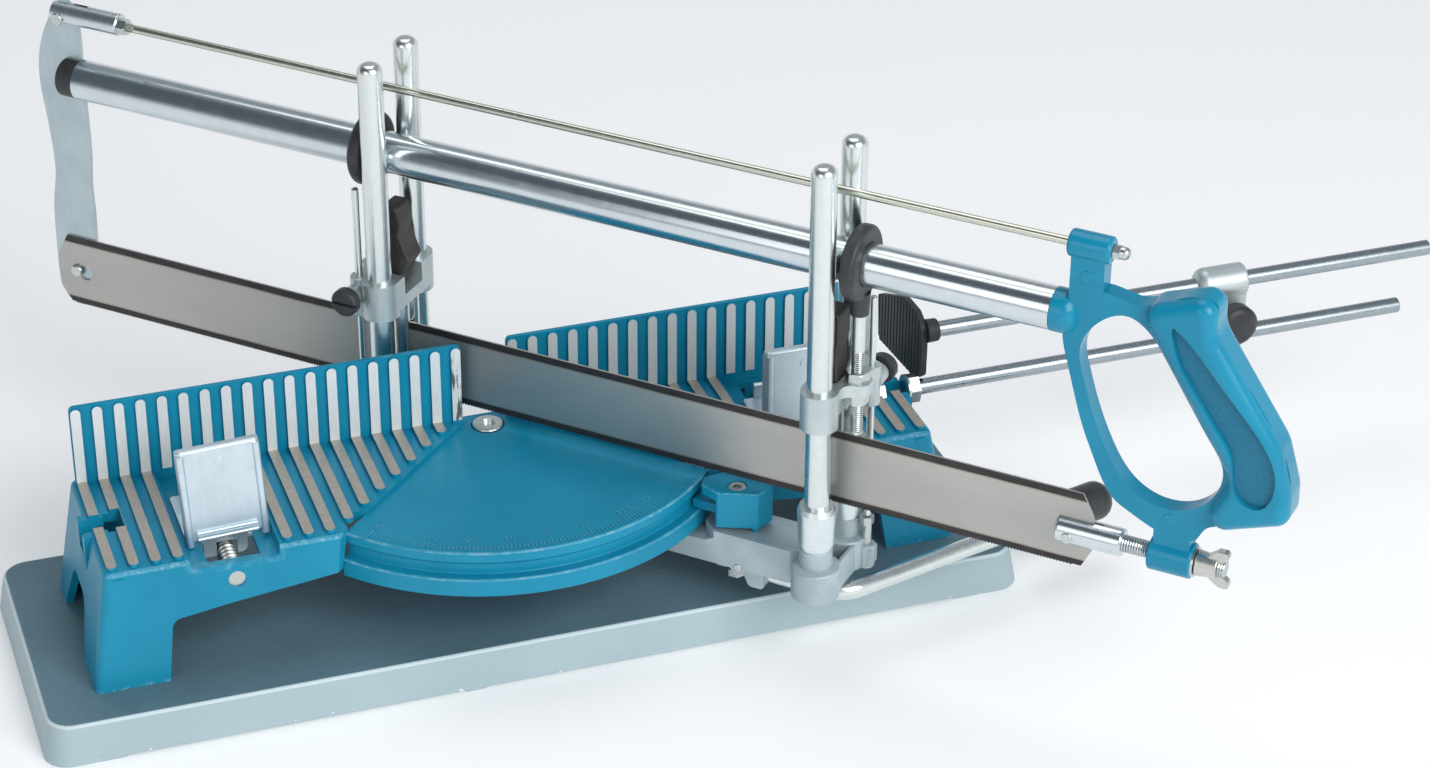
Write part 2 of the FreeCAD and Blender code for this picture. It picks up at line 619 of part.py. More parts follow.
def swivel_arm():
    """Inverted channel with a hub on the swivel axis and two pairs of post bosses."""
    low = side([(REAR_POST, ARM_BOTTOM, 0), (REAR_POST, ARM_LOW, 0), (124, ARM_LOW, 0), (130, 55, 0),
                (130, ARM_BOTTOM, 0)], -ARM_HALF, ARM_HALF)
    neck = 116.6
    high = plan([(neck + 4.6, -4.6, 0), (neck + ARM_HALF, -ARM_HALF, 0), (168, -ARM_HALF, 5), (176, -8, 4),
                 (FRONT_POST, -8, 0), (FRONT_POST, 8, 0), (176, 8, 4), (168, ARM_HALF, 5),
                 (neck + ARM_HALF, ARM_HALF, 0), (neck + 4.6, 4.6, 0)], ARM_BOTTOM, ARM_HIGH)
    inner = ARM_HALF - ARM_WALL
    hollow = [box(REAR_POST + 9, 172, -inner, inner, ARM_BOTTOM - 1, ARM_LOW - 3.5),
              box(126, 172, -inner, inner, ARM_BOTTOM - 1, ARM_HIGH - 3.5)]
    high = high.cut(box(172, 200, -20, 20, 30, LUG_Z))
    shape = joined([low, high])
    for space in hollow:
        shape = shape.cut(space)
    solids = [shape, upright(12.4, 0, 0, ARM_BOTTOM, ARM_LOW)]
    for x in (REAR_POST, FRONT_POST):
        for y in (-POST_SIDE, POST_SIDE):
            boss = [(0, 0, 0), (11.4, 0, 1.5), (11.75, 16.6, 1.2), (9, 17.6, 0), (7.9, 17.8, 0),
                    (7.8, 27, 0.8), (0, 27, 0)]
            solids.append(turned(boss, V(x, y, 41.2), Z_AXIS))
        web = box(x - 9, x + 9, -POST_SIDE, POST_SIDE, 42, 57)
        inside, outside = (x - 5.5, x + 7.4) if x > 0 else (x - 7.4, x + 5.5)
        solids.append(web.cut(plan(rectangle(inside, outside, -9, 9, 1.5), 47, 58)))
    for x, y in (FRONT_STOP, REAR_STOP):
        solids.append(turned([(0, 0, 0), (4.2, 0, 1), (4.4, 12.5, 0.6), (0, 12.5, 0)], V(x, y, 42), Z_AXIS))
        solids.append(box(x - 4, x + 4, y - 4, y + 4, 44, 53))
    for way in (-1, 1):
        near = way * ARM_HALF
        far = way * (ARM_HALF - ARM_WALL)
        solids.append(rod(4.8, V(LUG_X, near, LUG_Z + 1.8), V(LUG_X, far, LUG_Z + 1.8)))
    arm = joined(solids)
    for x, y in post_places():
        arm = arm.cut(upright(POST_RADIUS, x, y, POST_FOOT, 70))
    for x, y in (FRONT_STOP, REAR_STOP):
        arm = arm.cut(upright(STOP_RADIUS, x, y, 46, 60))
    arm = arm.cut(upright(4.0 + RUN, 0, 0, 30, 60))
    arm = arm.cut(rod(2.0 + RUN, V(LUG_X, -20, LUG_Z), V(LUG_X, 20, LUG_Z)))
    arm = arm.cut(upright(3.2, SHOE_SCREW[0], SHOE_SCREW[1], 40, 60))
    return arm


def guide_posts():
    posts = []
    for x, y in post_places():
        length = POST_TOP - POST_FOOT
        profile = [(0, 0, 0), (POST_RADIUS, 0, 0.6), (POST_RADIUS, length, 4.2), (0, length, 0)]
        posts.append(turned(profile, V(x, y, POST_FOOT), Z_AXIS))
    return group(posts)


def post_collars():
    """Turned collars that seat the posts on the arm's bosses."""
    collars = []
    for x, y in post_places():
        profile = [(POST_RADIUS, 0, 0), (8.4, 0, 0.6), (9.2, 18.4, 0.4), (8.2, 21, 0.4),
                   (POST_RADIUS, 21, 0)]
        collars.append(turned(profile, V(x, y, 70), Z_AXIS))
        ring = upright(7.4, x, y, 68.3, 70).cut(upright(POST_RADIUS, x, y, 60, 80))
        collars.append(ring)
    return group(collars)


def depth_stop_screws():
    """Hexagon screws under the depth rods, one at each end of the arm."""
    pieces = []
    for x, y in (FRONT_STOP, REAR_STOP):
        head = hexagon(6, V(x, y, STOP_HEAD), Z_AXIS, STOP_TOP - STOP_HEAD, 30)
        pieces.append(joined([head, upright(STOP_RADIUS, x, y, 46, STOP_HEAD + 1)]))
    return group(pieces)


# Angle lock: clamp shoe, lever and spring

def clamp_shoe():
    """Blue shoe with the scale's pointer; its tongue runs in the sector's groove."""
    crown = plan([(120.5, -8.5, 1.5), (130.8, -12.3, 1.5), (148.8, -5, 1.5), (151.8, 5.5, 1.5),
                  (140, 12, 1.5), (126, 8, 1.5), (118.8, -2, 1.5)], 75, 80)
    crown = crown.makeFillet(0.8, [edge for edge in crown.Edges if edge.BoundBox.ZMin > 79.99])
    body = plan([(129.6, -12, 0.5), (130.8, -12.3, 0.5), (148.8, -5, 1.5), (151.8, 5.5, 1.5), (140, 12, 1.5),
                 (128.8, 8.8, 1)], 61, 76)
    tongue = box(114.4, 131, -5, 5, 63.7, 68.4)
    foot = turned([(0, 0, 0), (1.6, 0, 0), (2.1, 3, 0), (0, 3, 0)], V(146.6, -3.4, ARM_HIGH + 0.1), Z_AXIS)
    body = joined([crown, body, tongue, foot])
    body = body.cut(upright(2.55, SHOE_SCREW[0], SHOE_SCREW[1], 50, 90))
    return body.cut(upright(4.7, SHOE_SCREW[0], SHOE_SCREW[1], 75, 90))


def shoe_screw():
    """Screw that draws the shoe down, with its nut under the lever block."""
    x, y = SHOE_SCREW
    head = turned([(0, 0, 0), (4.5, 0, 0.3), (4.5, 4.4, 0.5), (0, 4.4, 0)], V(x, y, 75), Z_AXIS)
    socket = hexagon(4, V(x, y, 77), Z_AXIS, 4)
    screw = joined([head, upright(2.5, x, y, 30.6, 76)]).cut(socket)
    nut = hexagon(8, V(x, y, 30.6), Z_AXIS, 3.6).cut(upright(2.5, x, y, 20, 50))
    return group([screw, nut])


LEVER_Z = 34.5
LEVER_RADIUS = 4.5
LEVER_BEND_RADIUS = 14.0
LEVER_BEND = (192.0, 0.0)
LEVER_WAY = V(0.509, 0.861, 0)
LEVER_GRIP_START = 112.0


def lever_rod():
    """Bent rod from the block under the channel out to the grip."""
    start = V(LUG_X + 11.2, 0, LEVER_Z)
    corner = V(LEVER_BEND[0], LEVER_BEND[1], LEVER_Z)
    end = corner + LEVER_WAY * (LEVER_GRIP_START + 40)
    back = (start - corner).normalize()
    half = back.getAngle(LEVER_WAY) / 2
    run = LEVER_BEND_RADIUS / math.tan(half)
    rise = LEVER_BEND_RADIUS / math.sin(half) - LEVER_BEND_RADIUS
    middle = corner + (back + LEVER_WAY).normalize() * rise
    path = Part.Wire([Part.LineSegment(start, corner + back * run).toShape(),
                      Part.Arc(corner + back * run, middle, corner + LEVER_WAY * run).toShape(),
                      Part.LineSegment(corner + LEVER_WAY * run, end).toShape()])
    section = Part.Wire([Part.Circle(start, X_AXIS, LEVER_RADIUS).toShape()])
    return path.makePipeShell([section], True, False)


def lever_block():
    """Block on the end of the lever, hung on the pin and drawing the shoe's screw down."""
    block = side([(128, 36, 1), (128, 45, 3), (147, 47.5, 4), (153, 40.5, 2), (153, 28.6, 2), (145, 28.6, 3),
                  (142, 36, 1)], -7, 7)
    block = block.cut(rod(2.0 + RUN, V(LUG_X, -10, LUG_Z), V(LUG_X, 10, LUG_Z)))
    fork = box(SHOE_SCREW[0] - 3.2, SHOE_SCREW[0] + 3.2, -8, SHOE_SCREW[1] + 3.2, 20, 60)
    return block.cut(fork)


def lever_grip():
    """Black moulded grip with a rounded end."""
    origin = V(LEVER_BEND[0], LEVER_BEND[1], LEVER_Z) + LEVER_WAY * LEVER_GRIP_START
    profile = [(LEVER_RADIUS, 0, 0), (7.4, 0, 1.2), (9.8, 9, 14), (9.8, 46.5, 8), (0, 46.5, 0), (0, 40, 0),
               (LEVER_RADIUS, 40, 0)]
    return turned(profile, origin, LEVER_WAY)


def lever_pin():
    shaft = rod(2.0, V(LUG_X, -12.9, LUG_Z), V(LUG_X, 12.9, LUG_Z))
    return shaft.makeFillet(0.5, [edge for edge in shaft.Edges if edge.Curve.TypeId == "Part::GeomCircle"])


def lever_spring():
    """Coil spring round the pin, beside the block."""
    wire = 0.7
    pitch = wire * 1.15
    helix = Part.makeHelix(pitch, pitch * 2, 3.0)
    section = Part.Wire([Part.Circle(V(3.0, 0, 0), V(0, 1, 0.06), wire / 2).toShape()])
    coil = Part.Wire(helix.Edges).makePipeShell([section], True, True)
    coil.Placement = FreeCAD.Placement(V(LUG_X, 7.45, LUG_Z), FreeCAD.Rotation(Z_AXIS, Y_AXIS))
    return coil


# Carriages: drawn for the front pair of posts, outward is +X

def bridge():
    """Zinc bridge: two sleeves on the posts, a web with a pocket, the stem's lug and the depth boss."""
    x = FRONT_POST
    sleeves = [upright(8.9, x, y, BRIDGE_BOTTOM, BRIDGE_TOP) for y in (-POST_SIDE, POST_SIDE)]
    web = box(x - 8.9, x + 6.2, -POST_SIDE, POST_SIDE, 136.5, BRIDGE_TOP)
    pocket = plan([(x - 10, -8, 0), (x + 4.4, -8, 2), (x + 4.4, 8, 2), (x - 10, 8, 0)],
                  142.6, BRIDGE_TOP + 1)
    lug = plan([(x + 2, -POST_SIDE - 4, 0), (x + 8.3, -POST_SIDE - 1.2, 3), (x + 8.3, -8, 4),
                (x + STEM_OUT + 1, -6, 4), (x + STEM_OUT + 6.6, -4, 4), (x + STEM_OUT + 6.6, 3.5, 5),
                (x + STEM_OUT + 2, 8, 3), (x + DEPTH_OUT + 4, POST_SIDE, 2), (x + 2, POST_SIDE + 2, 0)],
               146.4, BRIDGE_TOP)
    depth = turned([(0, 0, 0), (4.2, 0, 0.8), (4.4, 21, 0.8), (0, 21, 0)],
                   V(x + DEPTH_OUT, POST_SIDE, 131.5), Z_AXIS)
    side_boss = rod(5.0, V(x + DEPTH_OUT, POST_SIDE, SCREW_Z), V(x + DEPTH_OUT, POST_SIDE + 8.4, SCREW_Z))
    link = box(x, x + DEPTH_OUT, POST_SIDE - 3, POST_SIDE + 3, 136, BRIDGE_TOP)
    body = joined(sleeves + [web, lug, depth, side_boss, link])
    body = body.cut(pocket)
    for y in (-POST_SIDE, POST_SIDE):
        body = body.cut(upright(POST_RADIUS + RUN, x, y, 120, 160))
    body = body.cut(upright(3.0, x + STEM_OUT, 0, 120, 170))
    body = body.cut(upright(DEPTH_RADIUS + RUN, x + DEPTH_OUT, POST_SIDE, 120, 170))
    bore_end = V(x + DEPTH_OUT, POST_SIDE + 12, SCREW_Z)
    body = body.cut(rod(2.0 + RUN, V(x + DEPTH_OUT, POST_SIDE, SCREW_Z), bore_end))
    body = body.cut(rod(1.5 + RUN, V(x - 1, -9.8, CATCH_Z), V(x - 1, 9.8, CATCH_Z)))
    for y in (-4.6, 4.6):
        body = body.cut(upright(4.0, x - GUIDE_IN, y, 120, 137.5))
    return body


def blade_guides():
    """Round fingers that hang from the bridge on both sides of the blade."""
    fingers = []
    for y in (-4.6, 4.6):
        profile = [(0, 0, 0), (4.0, 0, 1.2), (4.0, 46, 0), (0, 46, 0)]
        fingers.append(turned(profile, V(FRONT_POST - GUIDE_IN, y, 91.5), Z_AXIS))
    return group(fingers)


def stem():
    """Threaded stem with a slotted foot just above the blade."""
    x = FRONT_POST + STEM_OUT
    profile = [(0, 0, 0), (2.6, 0, 0), (3.0, 0.6, 0), (3.0, 67, 0), (0, 67, 0)]
    shaft = turned(profile, V(x, 0, 124), Z_AXIS)
    return shaft.cut(box(x - 0.6, x + 0.6, -4, 4, 123, 127.5))


def stem_nuts():
    x = FRONT_POST + STEM_OUT
    nuts = []
    for low, turn in ((BRIDGE_TOP, 10.0), (141.2, 30.0)):
        nut = hexagon(10, V(x, 0, low), Z_AXIS, 5.2, turn)
        bevel = turned([(0, -1, 0), (5.3, -1, 0), (5.3, 0.1, 0), (5.9, 0.8, 0), (5.9, 4.4, 0), (5.3, 5.1, 0),
                        (5.3, 6, 0), (0, 6, 0)], V(x, 0, low), Z_AXIS)
        nuts.append(nut.common(bevel).cut(upright(3.0, x, 0, 120, 180)))
    return group(nuts)


RING_WIDTH = 7.4
RING_OUTER = 18.0
RING_BORE = TUBE_RADIUS + 0.08


def ring_body():
    x = FRONT_POST + STEM_OUT
    half = RING_WIDTH / 2
    profile = [(RING_BORE, 0, 0.6), (RING_OUTER, 0, 2.6), (RING_OUTER, RING_WIDTH, 2.6),
               (RING_BORE, RING_WIDTH, 0.6)]
    return turned(profile, V(x - half, 0, TUBE_Z), X_AXIS)


def ring_yoke():
    """Lower part of the guide ring, with the socket for the stem."""
    x = FRONT_POST + STEM_OUT
    lower = ring_body().cut(box(x - 10, x + 10, -30, 30, TUBE_Z + 4.02, TUBE_Z + 40))
    socket = turned([(0, 0, 0), (4.4, 0, 0.6), (5.0, 11.5, 0), (0, 11.5, 0)], V(x, 0, 187), Z_AXIS)
    return joined([lower, socket]).cut(upright(3.0, x, 0, 170, 191))


def ring_cap():
    x = FRONT_POST + STEM_OUT
    return ring_body().cut(box(x - 10, x + 10, -30, 30, TUBE_Z - 40, TUBE_Z + 4.1))


def catch():
    """Black hold-up catch, hinged in the bridge's pocket; it widens towards the other bridge."""
    x = FRONT_POST
    heel = CATCH_Z - 3.2
    outline = [(x - 4.2, heel, 3.1), (x + 2.2, heel, 3.1), (x + 4.0, 151, 1), (x + 3.4, 168, 3),
               (x + 4.6, 174, 1.5), (x + 4.2, 187.2, 2), (x - 4.5, 187.4, 2.5), (x - 6.2, 180, 1.5),
               (x - 5.2, 173, 3), (x - 10.5, 160, 3), (x - 7, 154.5, 3), (x - 4.4, 150, 2)]
    body = side(outline, -6.4, 6.4)
    rim = [edge for edge in body.Edges if abs(abs(edge.CenterOfMass.y) - 6.4) < 0.01]
    body = body.makeChamfer(0.7, rim)
    return joined([body, rod(1.5, V(x - 1, -9.5, CATCH_Z), V(x - 1, 9.5, CATCH_Z))])


def thumbscrew():
    """Black thumbscrew that holds the depth rod."""
    x = FRONT_POST + DEPTH_OUT
    y = POST_SIDE
    head = turned([(0, 0, 0), (4.2, 0, 0), (4.2, 1.2, 0), (7.0, 1.8, 0.8), (7.0, 7.2, 1.6), (0, 7.2, 0)],
                  V(x, y + 8.7, SCREW_Z), Y_AXIS)
    slot = box(x - 8, x + 8, y + 14.3, y + 20, SCREW_Z - 0.9, SCREW_Z + 0.9)
    screw = rod(2.0, V(x, y + DEPTH_RADIUS + 0.15, SCREW_Z), V(x, y + 10, SCREW_Z))
    return joined([head.cut(slot), screw])


def depth_rod(top):
    shaft = upright(DEPTH_RADIUS, FRONT_POST + DEPTH_OUT, POST_SIDE, STOP_TOP + 0.05, top)
    return shaft.makeChamfer(0.4, [edge for edge in shaft.Edges if edge.Curve.TypeId == "Part::GeomCircle"])


def to_rear(shape):
    """The same piece on the rear posts: half a turn about its own posts, moved back."""
    copy = turned_round(shape, FRONT_POST)
    copy.translate(V(REAR_POST - FRONT_POST, 0, 0))
    return copy


# Saw frame

PLATE_NEAR = 0.5
PLATE_FAR = 2.5


def plate_slot():
    """Slot across the tube's end that takes the end plate."""
    return box(TUBE_START - 11, TUBE_START + 2.1, PLATE_NEAR, PLATE_FAR, TUBE_Z - 20, TUBE_Z + 20)


def frame_tube():
    shell = rod(TUBE_RADIUS, V(TUBE_START, 0, TUBE_Z), V(TUBE_END, 0, TUBE_Z))
    shell = shell.cut(rod(TUBE_RADIUS - TUBE_WALL, V(TUBE_START - 1, 0, TUBE_Z), V(TUBE_END + 1, 0, TUBE_Z)))
    return shell.cut(plate_slot())


def tube_plug():
    inner = TUBE_RADIUS - TUBE_WALL
    profile = [(0, 0, 0), (9.6, 0, 1.8), (9.6, 10.3, 0.2), (inner, 10.3, 0), (inner, 28, 1), (0, 28, 0)]
    plug = turned(profile, V(TUBE_START - 10.3, 0, TUBE_Z), X_AXIS)
    return plug.cut(plate_slot())


def end_plate():
    """Flat steel plate at the far end of the frame, waisted on its left edge."""
    left = [(-235.2, 252.8), (-243.3, 239.8), (-249.3, 223), (-250.6, 208), (-248.7, 190), (-246.7, 168),
            (-246.7, 157), (-249.2, 141.5), (-250.3, 122), (-250.2, 102), (-248.4, 90)]
    right = [(-227.8, 88), (-226, 100), (-225.8, 122.6), (-225.3, 138.7), (-225.5, 156), (-224.5, 167),
             (-224.2, 190), (-224.2, 225), (-224.6, 242), (-227.2, 251)]
    bottom = [left[-1], (-243, 84.2), (-233, 84.2), right[0]]
    top = [right[-1], (-230.5, 254.4), left[0]]
    edges = [spline_edge(points, PLATE_NEAR) for points in (left, bottom, right, top)]
    plate = Part.Face(Part.Wire(edges)).extrude(V(0, PLATE_FAR - PLATE_NEAR, 0))
    plate = plate.cut(rod(2.5, V(RIVET_X, -10, RIVET_Z), V(RIVET_X, 10, RIVET_Z)))
    return plate.cut(rod(2.5, V(STUD_X, -10, STUD_Z), V(STUD_X, 10, STUD_Z)))


def tension_clevis():
    """Slotted rod end that holds the top of the end plate."""
    body = turned([(0, 0, 0), (5.4, 0, 1.6), (5.4, 39, 0.8), (0, 39, 0)], V(-238, 1, TENSION_Z), X_AXIS)
    body = body.cut(box(-240, -218, PLATE_NEAR - 0.02, PLATE_FAR + 0.02, TENSION_Z - 8, TENSION_Z + 8))
    body = body.cut(rod(2.5, V(RIVET_X, -10, RIVET_Z), V(RIVET_X, 12, RIVET_Z)))
    return body.cut(rod(2.0, V(-216, 0, TENSION_Z), V(-190, 0, TENSION_Z)))


def plate_rivets():
    """Rivet through the tension clevis, and the shouldered stud that holds the blade."""
    rivet = turned([(0, 0, 0), (2.5, 0, 0), (2.5, 10.7, 0), (3.2, 10.7, 0), (3.2, 11.7, 0.6), (0, 11.7, 0)],
                   V(RIVET_X, 6.2, RIVET_Z), V(0, -1, 0))
    back = PLATE_FAR + 1.15
    near = back - PLATE_NEAR
    front = near + 1.05
    profile = [(0, 0, 0), (3.4, 0, 0), (3.4, 1.15, 0.3), (2.5, 1.15, 0), (2.5, near, 0), (2.0, near, 0),
               (2.0, front, 0), (3.4, front, 0), (3.4, front + 1.75, 1.2), (0, front + 1.75, 0)]
    return group([rivet, turned(profile, V(STUD_X, back, STUD_Z), V(0, -1, 0))])


def tension_nuts():
    """Lock nut behind the clevis and domed nut behind the handle."""
    nut = hexagon(7, V(-199, 0, TENSION_Z), X_AXIS, 5.0, 20)
    profile = [(0, -1, 0), (3.7, -1, 0), (3.7, 0, 0), (4.1, 0.6, 0), (4.1, 4.4, 0), (3.7, 5, 0), (0, 5, 0)]
    bevel = turned(profile, V(-199, 0, TENSION_Z), X_AXIS)
    lock = nut.common(bevel).cut(rod(2.0, V(-210, 0, TENSION_Z), V(-180, 0, TENSION_Z)))
    cap = hexagon(6, V(313.6, 0, TENSION_Z), X_AXIS, 3.2, 10)
    dome = turned([(0, 0, 0), (2.9, 0, 0), (2.9, 5.6, 2.4), (0, 5.6, 0)], V(315.5, 0, TENSION_Z), X_AXIS)
    domed = joined([cap, dome]).cut(rod(2.0, V(310, 0, TENSION_Z), V(317.5, 0, TENSION_Z)))
    return group([lock, domed])


def tension_rod():
    return rod(2.0, V(-215, 0, TENSION_Z), V(317.5, 0, TENSION_Z))


def blade():
    """Long blade with a fine toothed edge and rounded ends."""
    top = BLADE_BOTTOM + BLADE_WIDTH
    gullet = BLADE_BOTTOM + TOOTH_DEPTH
    first = BLADE_START + 9
    count = int((BLADE_END - BLADE_START - 18) / TOOTH_PITCH)
    outline = [(BLADE_START + 7, gullet, 0)]
    for index in range(count):
        x = first + index * TOOTH_PITCH
        outline.append((x, gullet, 0))
        outline.append((x + TOOTH_PITCH * 0.35, BLADE_BOTTOM, 0))
    outline += [(first + count * TOOTH_PITCH, gullet, 0), (BLADE_END - 5.5, gullet, 0.5),
                (BLADE_END - 0.3, BLADE_BOTTOM + 11, 9), (BLADE_END - 0.3, BLADE_BOTTOM + 27, 14),
                (BLADE_END - 6.5, top, 1), (BLADE_START + 7.5, top, 1),
                (BLADE_START + 0.2, BLADE_BOTTOM + 25, 14), (BLADE_START + 1, BLADE_BOTTOM + 9, 6)]
    body = side(outline, -BLADE_THICK / 2, BLADE_THICK / 2)
    keyhole_x = STUD_X + 4.8
    for x, z, radius in ((STUD_X, STUD_Z, 2.05), (keyhole_x, STUD_Z - 0.4, 4.2), (PIN_X, PIN_Z, 2.6)):
        body = body.cut(rod(radius, V(x, -3, z), V(x, 3, z)))
    return body.cut(box(STUD_X, keyhole_x, -3, 3, STUD_Z - 2.05, STUD_Z + 1.65))


def blade_clevis():
    """Clevis and threaded shank that pull the blade at the handle end."""
    body = turned([(0, 0, 0), (6.6, 0, 1.8), (6.6, 31.8, 1.2), (0, 31.8, 0)], V(296.2, 0, CLEVIS_Z), X_AXIS)
    shank = rod(4.0, V(327, 0, CLEVIS_Z), V(376, 0, CLEVIS_Z))
    slit = BLADE_THICK / 2 + 0.02
    body = joined([body, shank]).cut(box(292, 318, -slit, slit, CLEVIS_Z - 8, CLEVIS_Z + 8))
    return body.cut(rod(2.6, V(PIN_X, -9, PIN_Z), V(PIN_X, 9, PIN_Z)))


def blade_pin():
    profile = [(0, 0, 0), (2.6, 0, 0.4), (2.6, 14.6, 0.4), (0, 14.6, 0)]
    return turned(profile, V(PIN_X, 7.3, PIN_Z), V(0, -1, 0))


def handle_washer():
    bore = rod(4.0, V(355, 0, CLEVIS_Z), V(370, 0, CLEVIS_Z))
    return rod(7.0, V(361.2, 0, CLEVIS_Z), V(362.4, 0, CLEVIS_Z)).cut(bore)


def wing_nut():
    """Wing nut that tightens the blade."""
    hub = turned([(0, 0, 0), (6.2, 0, 0.6), (5.0, 10, 0.8), (0, 10, 0)], V(362.7, 0, CLEVIS_Z), X_AXIS)
    wings = []
    for way in (-1, 1):
        outline = [(364.6, way * 2, 0), (368.4, way * 6.4, 3), (373, way * 10.4, 1.6),
                   (378.6, way * 10.8, 2.2), (377.6, way * 6.6, 2), (372.4, way * 2, 0)]
        wing = plan(outline, -1.6, 1.6)
        wing.rotate(V(0, 0, 0), X_AXIS, 100)
        wing.translate(V(0, 0, CLEVIS_Z))
        wings.append(wing)
    return joined([hub] + wings).cut(rod(4.0 + RUN, V(350, 0, CLEVIS_Z), V(390, 0, CLEVIS_Z)))


def handle():
    """Cast handle: a flat web from the tension boss to the blade boss and a thick rounded grip."""
    rim = [(296, 214), (294.2, 203), (295.6, 196), (299.9, 180.8), (305.9, 161), (312.2, 145.8),
           (318.8, 132.3), (323, 127), (331.2, 122.1), (341.3, 117.2), (352, 114.6), (362.1, 116.4),
           (366, 122.9), (376.8, 127.5), (392.7, 133.6), (402.4, 142), (403.1, 154.4), (400, 166.4),
           (392.9, 180.1), (384.9, 192.3), (375.9, 204.5), (368.2, 214.9), (364, 227.2), (362.6, 236),
           (355.9, 237.4), (340, 231.3), (326, 226.9), (311.8, 229), (303, 226)]
    hole = [(313.5, 216.5), (306.4, 208.8), (302.7, 199.5), (305, 185.1), (310.6, 167.8), (318.2, 150.7),
            (328, 136.6), (341.4, 129.2), (355.6, 130), (365.1, 136.2), (370.8, 145.5), (371.8, 155),
            (365.3, 167.4), (354.3, 184.1), (341.8, 203.6), (332.4, 215.6), (323, 220)]
    neck = side([(295.8, 250, 1), (311.4, 250, 1), (311.4, 222, 1), (295.8, 208, 1)], -4.5, 4.5)
    foot = side([(342.6, 122, 1), (359.8, 122, 1), (359.8, 106, 1), (342.6, 106, 1)], -4.5, 4.5)
    web = joined([curved(rim, -4.5, 4.5), neck, foot])
    web = web.cut(curved(hole, -6, 6))
    outline = [(328.4, 227.8, 7.2), (364.2, 240.6, 7.2), (364.2, 222, 16), (397.5, 173.4, 20),
               (403.8, 152.5, 14), (404.2, 137.4, 7), (360, 121, 7.2), (376.8, 152.6, 12)]
    grip = side(outline, -GRIP_HALF, GRIP_HALF)
    rims = [edge for edge in grip.Edges if abs(abs(edge.CenterOfMass.y) - GRIP_HALF) < 0.01]
    grip = grip.makeFillet(6.4, rims)
    recess = [(347.4, 223), (355.6, 216.2), (363.7, 207.2), (377.4, 192), (390, 177), (397.1, 154.4),
              (391, 144.2), (382.8, 145.4), (376.6, 165.5), (368.6, 178.6), (356.3, 196.4), (348.4, 210.6)]
    profile = [(0, 0, 0), (6.3, 0, 1.5), (6.3, 19.8, 1.5), (0, 19.8, 0)]
    tension_boss = turned(profile, V(293.6, 0, TENSION_Z), X_AXIS)
    inner = TUBE_RADIUS - TUBE_WALL
    profile = [(0, 0, 0), (inner, 0, 0.5), (inner, 18.5, 0), (10.1, 18.5, 0.4), (10.1, 31, 8), (0, 31, 0)]
    socket = turned(profile, V(TUBE_END - 18.5, 0, TUBE_Z), X_AXIS)
    profile = [(0, 0, 0), (8.3, 0, 1), (8.3, 20.2, 1), (0, 20.2, 0)]
    blade_boss = turned(profile, V(341, 0, CLEVIS_Z), X_AXIS)
    discs = [turned([(0, 0, 0), (3.3, 0, 0), (3.3, 0.35, 0.25), (0, 0.35, 0)], V(x, -4.5, z), V(0, -1, 0))
             for x, z in ((303.8, 234.1), (349.9, 123.4))]
    body = joined([web, grip, tension_boss, socket, blade_boss] + discs)
    floor = GRIP_HALF - RECESS_DEPTH
    for near, far in ((-GRIP_HALF - 1, -floor), (floor, GRIP_HALF + 1)):
        body = body.cut(curved(recess, near, far))
    body = body.cut(rod(2.0, V(280, 0, TENSION_Z), V(330, 0, TENSION_Z)))
    return body.cut(rod(4.0, V(330, 0, CLEVIS_Z), V(370, 0, CLEVIS_Z)))


NODES = {
    "base_board": base_board(),
    "board_screws": board_screws(),
    "table_casting": table_casting(),
    "clamp_rods": clamp_rods(),
    "pivot_bolt": pivot_bolt(),
    "pivot_fasteners": pivot_fasteners(),
    "stop_rail": stop_rail(),
    "stop_rail_nuts": stop_rail_nuts(),
    "stop_holder": stop_holder(),
    "stop_knob": stop_knob(),
    "stop_rod": stop_rod(),
    "stop_plate": stop_plate(),
    "clamp_jaw_left": clamp_jaw(-1, -2.5, 1.2),
    "clamp_jaw_right": clamp_jaw(1, 0.0, 0.3),
    "clamp_carriage_left": clamp_carriage(-1),
    "clamp_carriage_right": clamp_carriage(1),
    "swivel_arm": swung(swivel_arm()),
    "guide_posts": swung(guide_posts()),
    "post_collars": swung(post_collars()),
    "depth_stop_screws": swung(depth_stop_screws()),
    "lever_pin": swung(lever_pin()),
    "lever_spring": swung(lever_spring()),
    "clamp_shoe": swung(clamp_shoe()),
    "shoe_screw": swung(shoe_screw()),
    "lever_block": swung(lever_block()),
    "lever_rod": swung(lever_rod()),
    "lever_grip": swung(lever_grip()),
    "depth_rod_front": swung(depth_rod(188.0)),
    "depth_rod_rear": swung(to_rear(depth_rod(199.0))),
    "frame_tube": swung(frame_tube()),
    "tube_plug": swung(tube_plug()),
    "end_plate": swung(end_plate()),
    "tension_clevis": swung(tension_clevis()),
    "plate_rivets": swung(plate_rivets()),
    "tension_nuts": swung(tension_nuts()),
    "tension_rod": swung(tension_rod()),
    "blade": swung(blade()),
    "blade_clevis": swung(blade_clevis()),
    "blade_pin": swung(blade_pin()),
    "handle": swung(handle()),
    "handle_washer": swung(handle_washer()),
    "wing_nut": swung(wing_nut()),
}

# The two carriages are the same pieces, the rear set turned half round
CARRIAGE = {
    "bridge": bridge(),
    "blade_guides": blade_guides(),
    "guide_stem": stem(),
    "stem_nuts": stem_nuts(),
    "ring_yoke": ring_yoke(),
    "ring_cap": ring_cap(),
    "catch": catch(),
    "thumbscrew": thumbscrew(),
}
for name, shape in CARRIAGE.items():
    NODES[name + "_front"] = swung(shape)
    NODES[name + "_rear"] = swung(to_rear(shape))

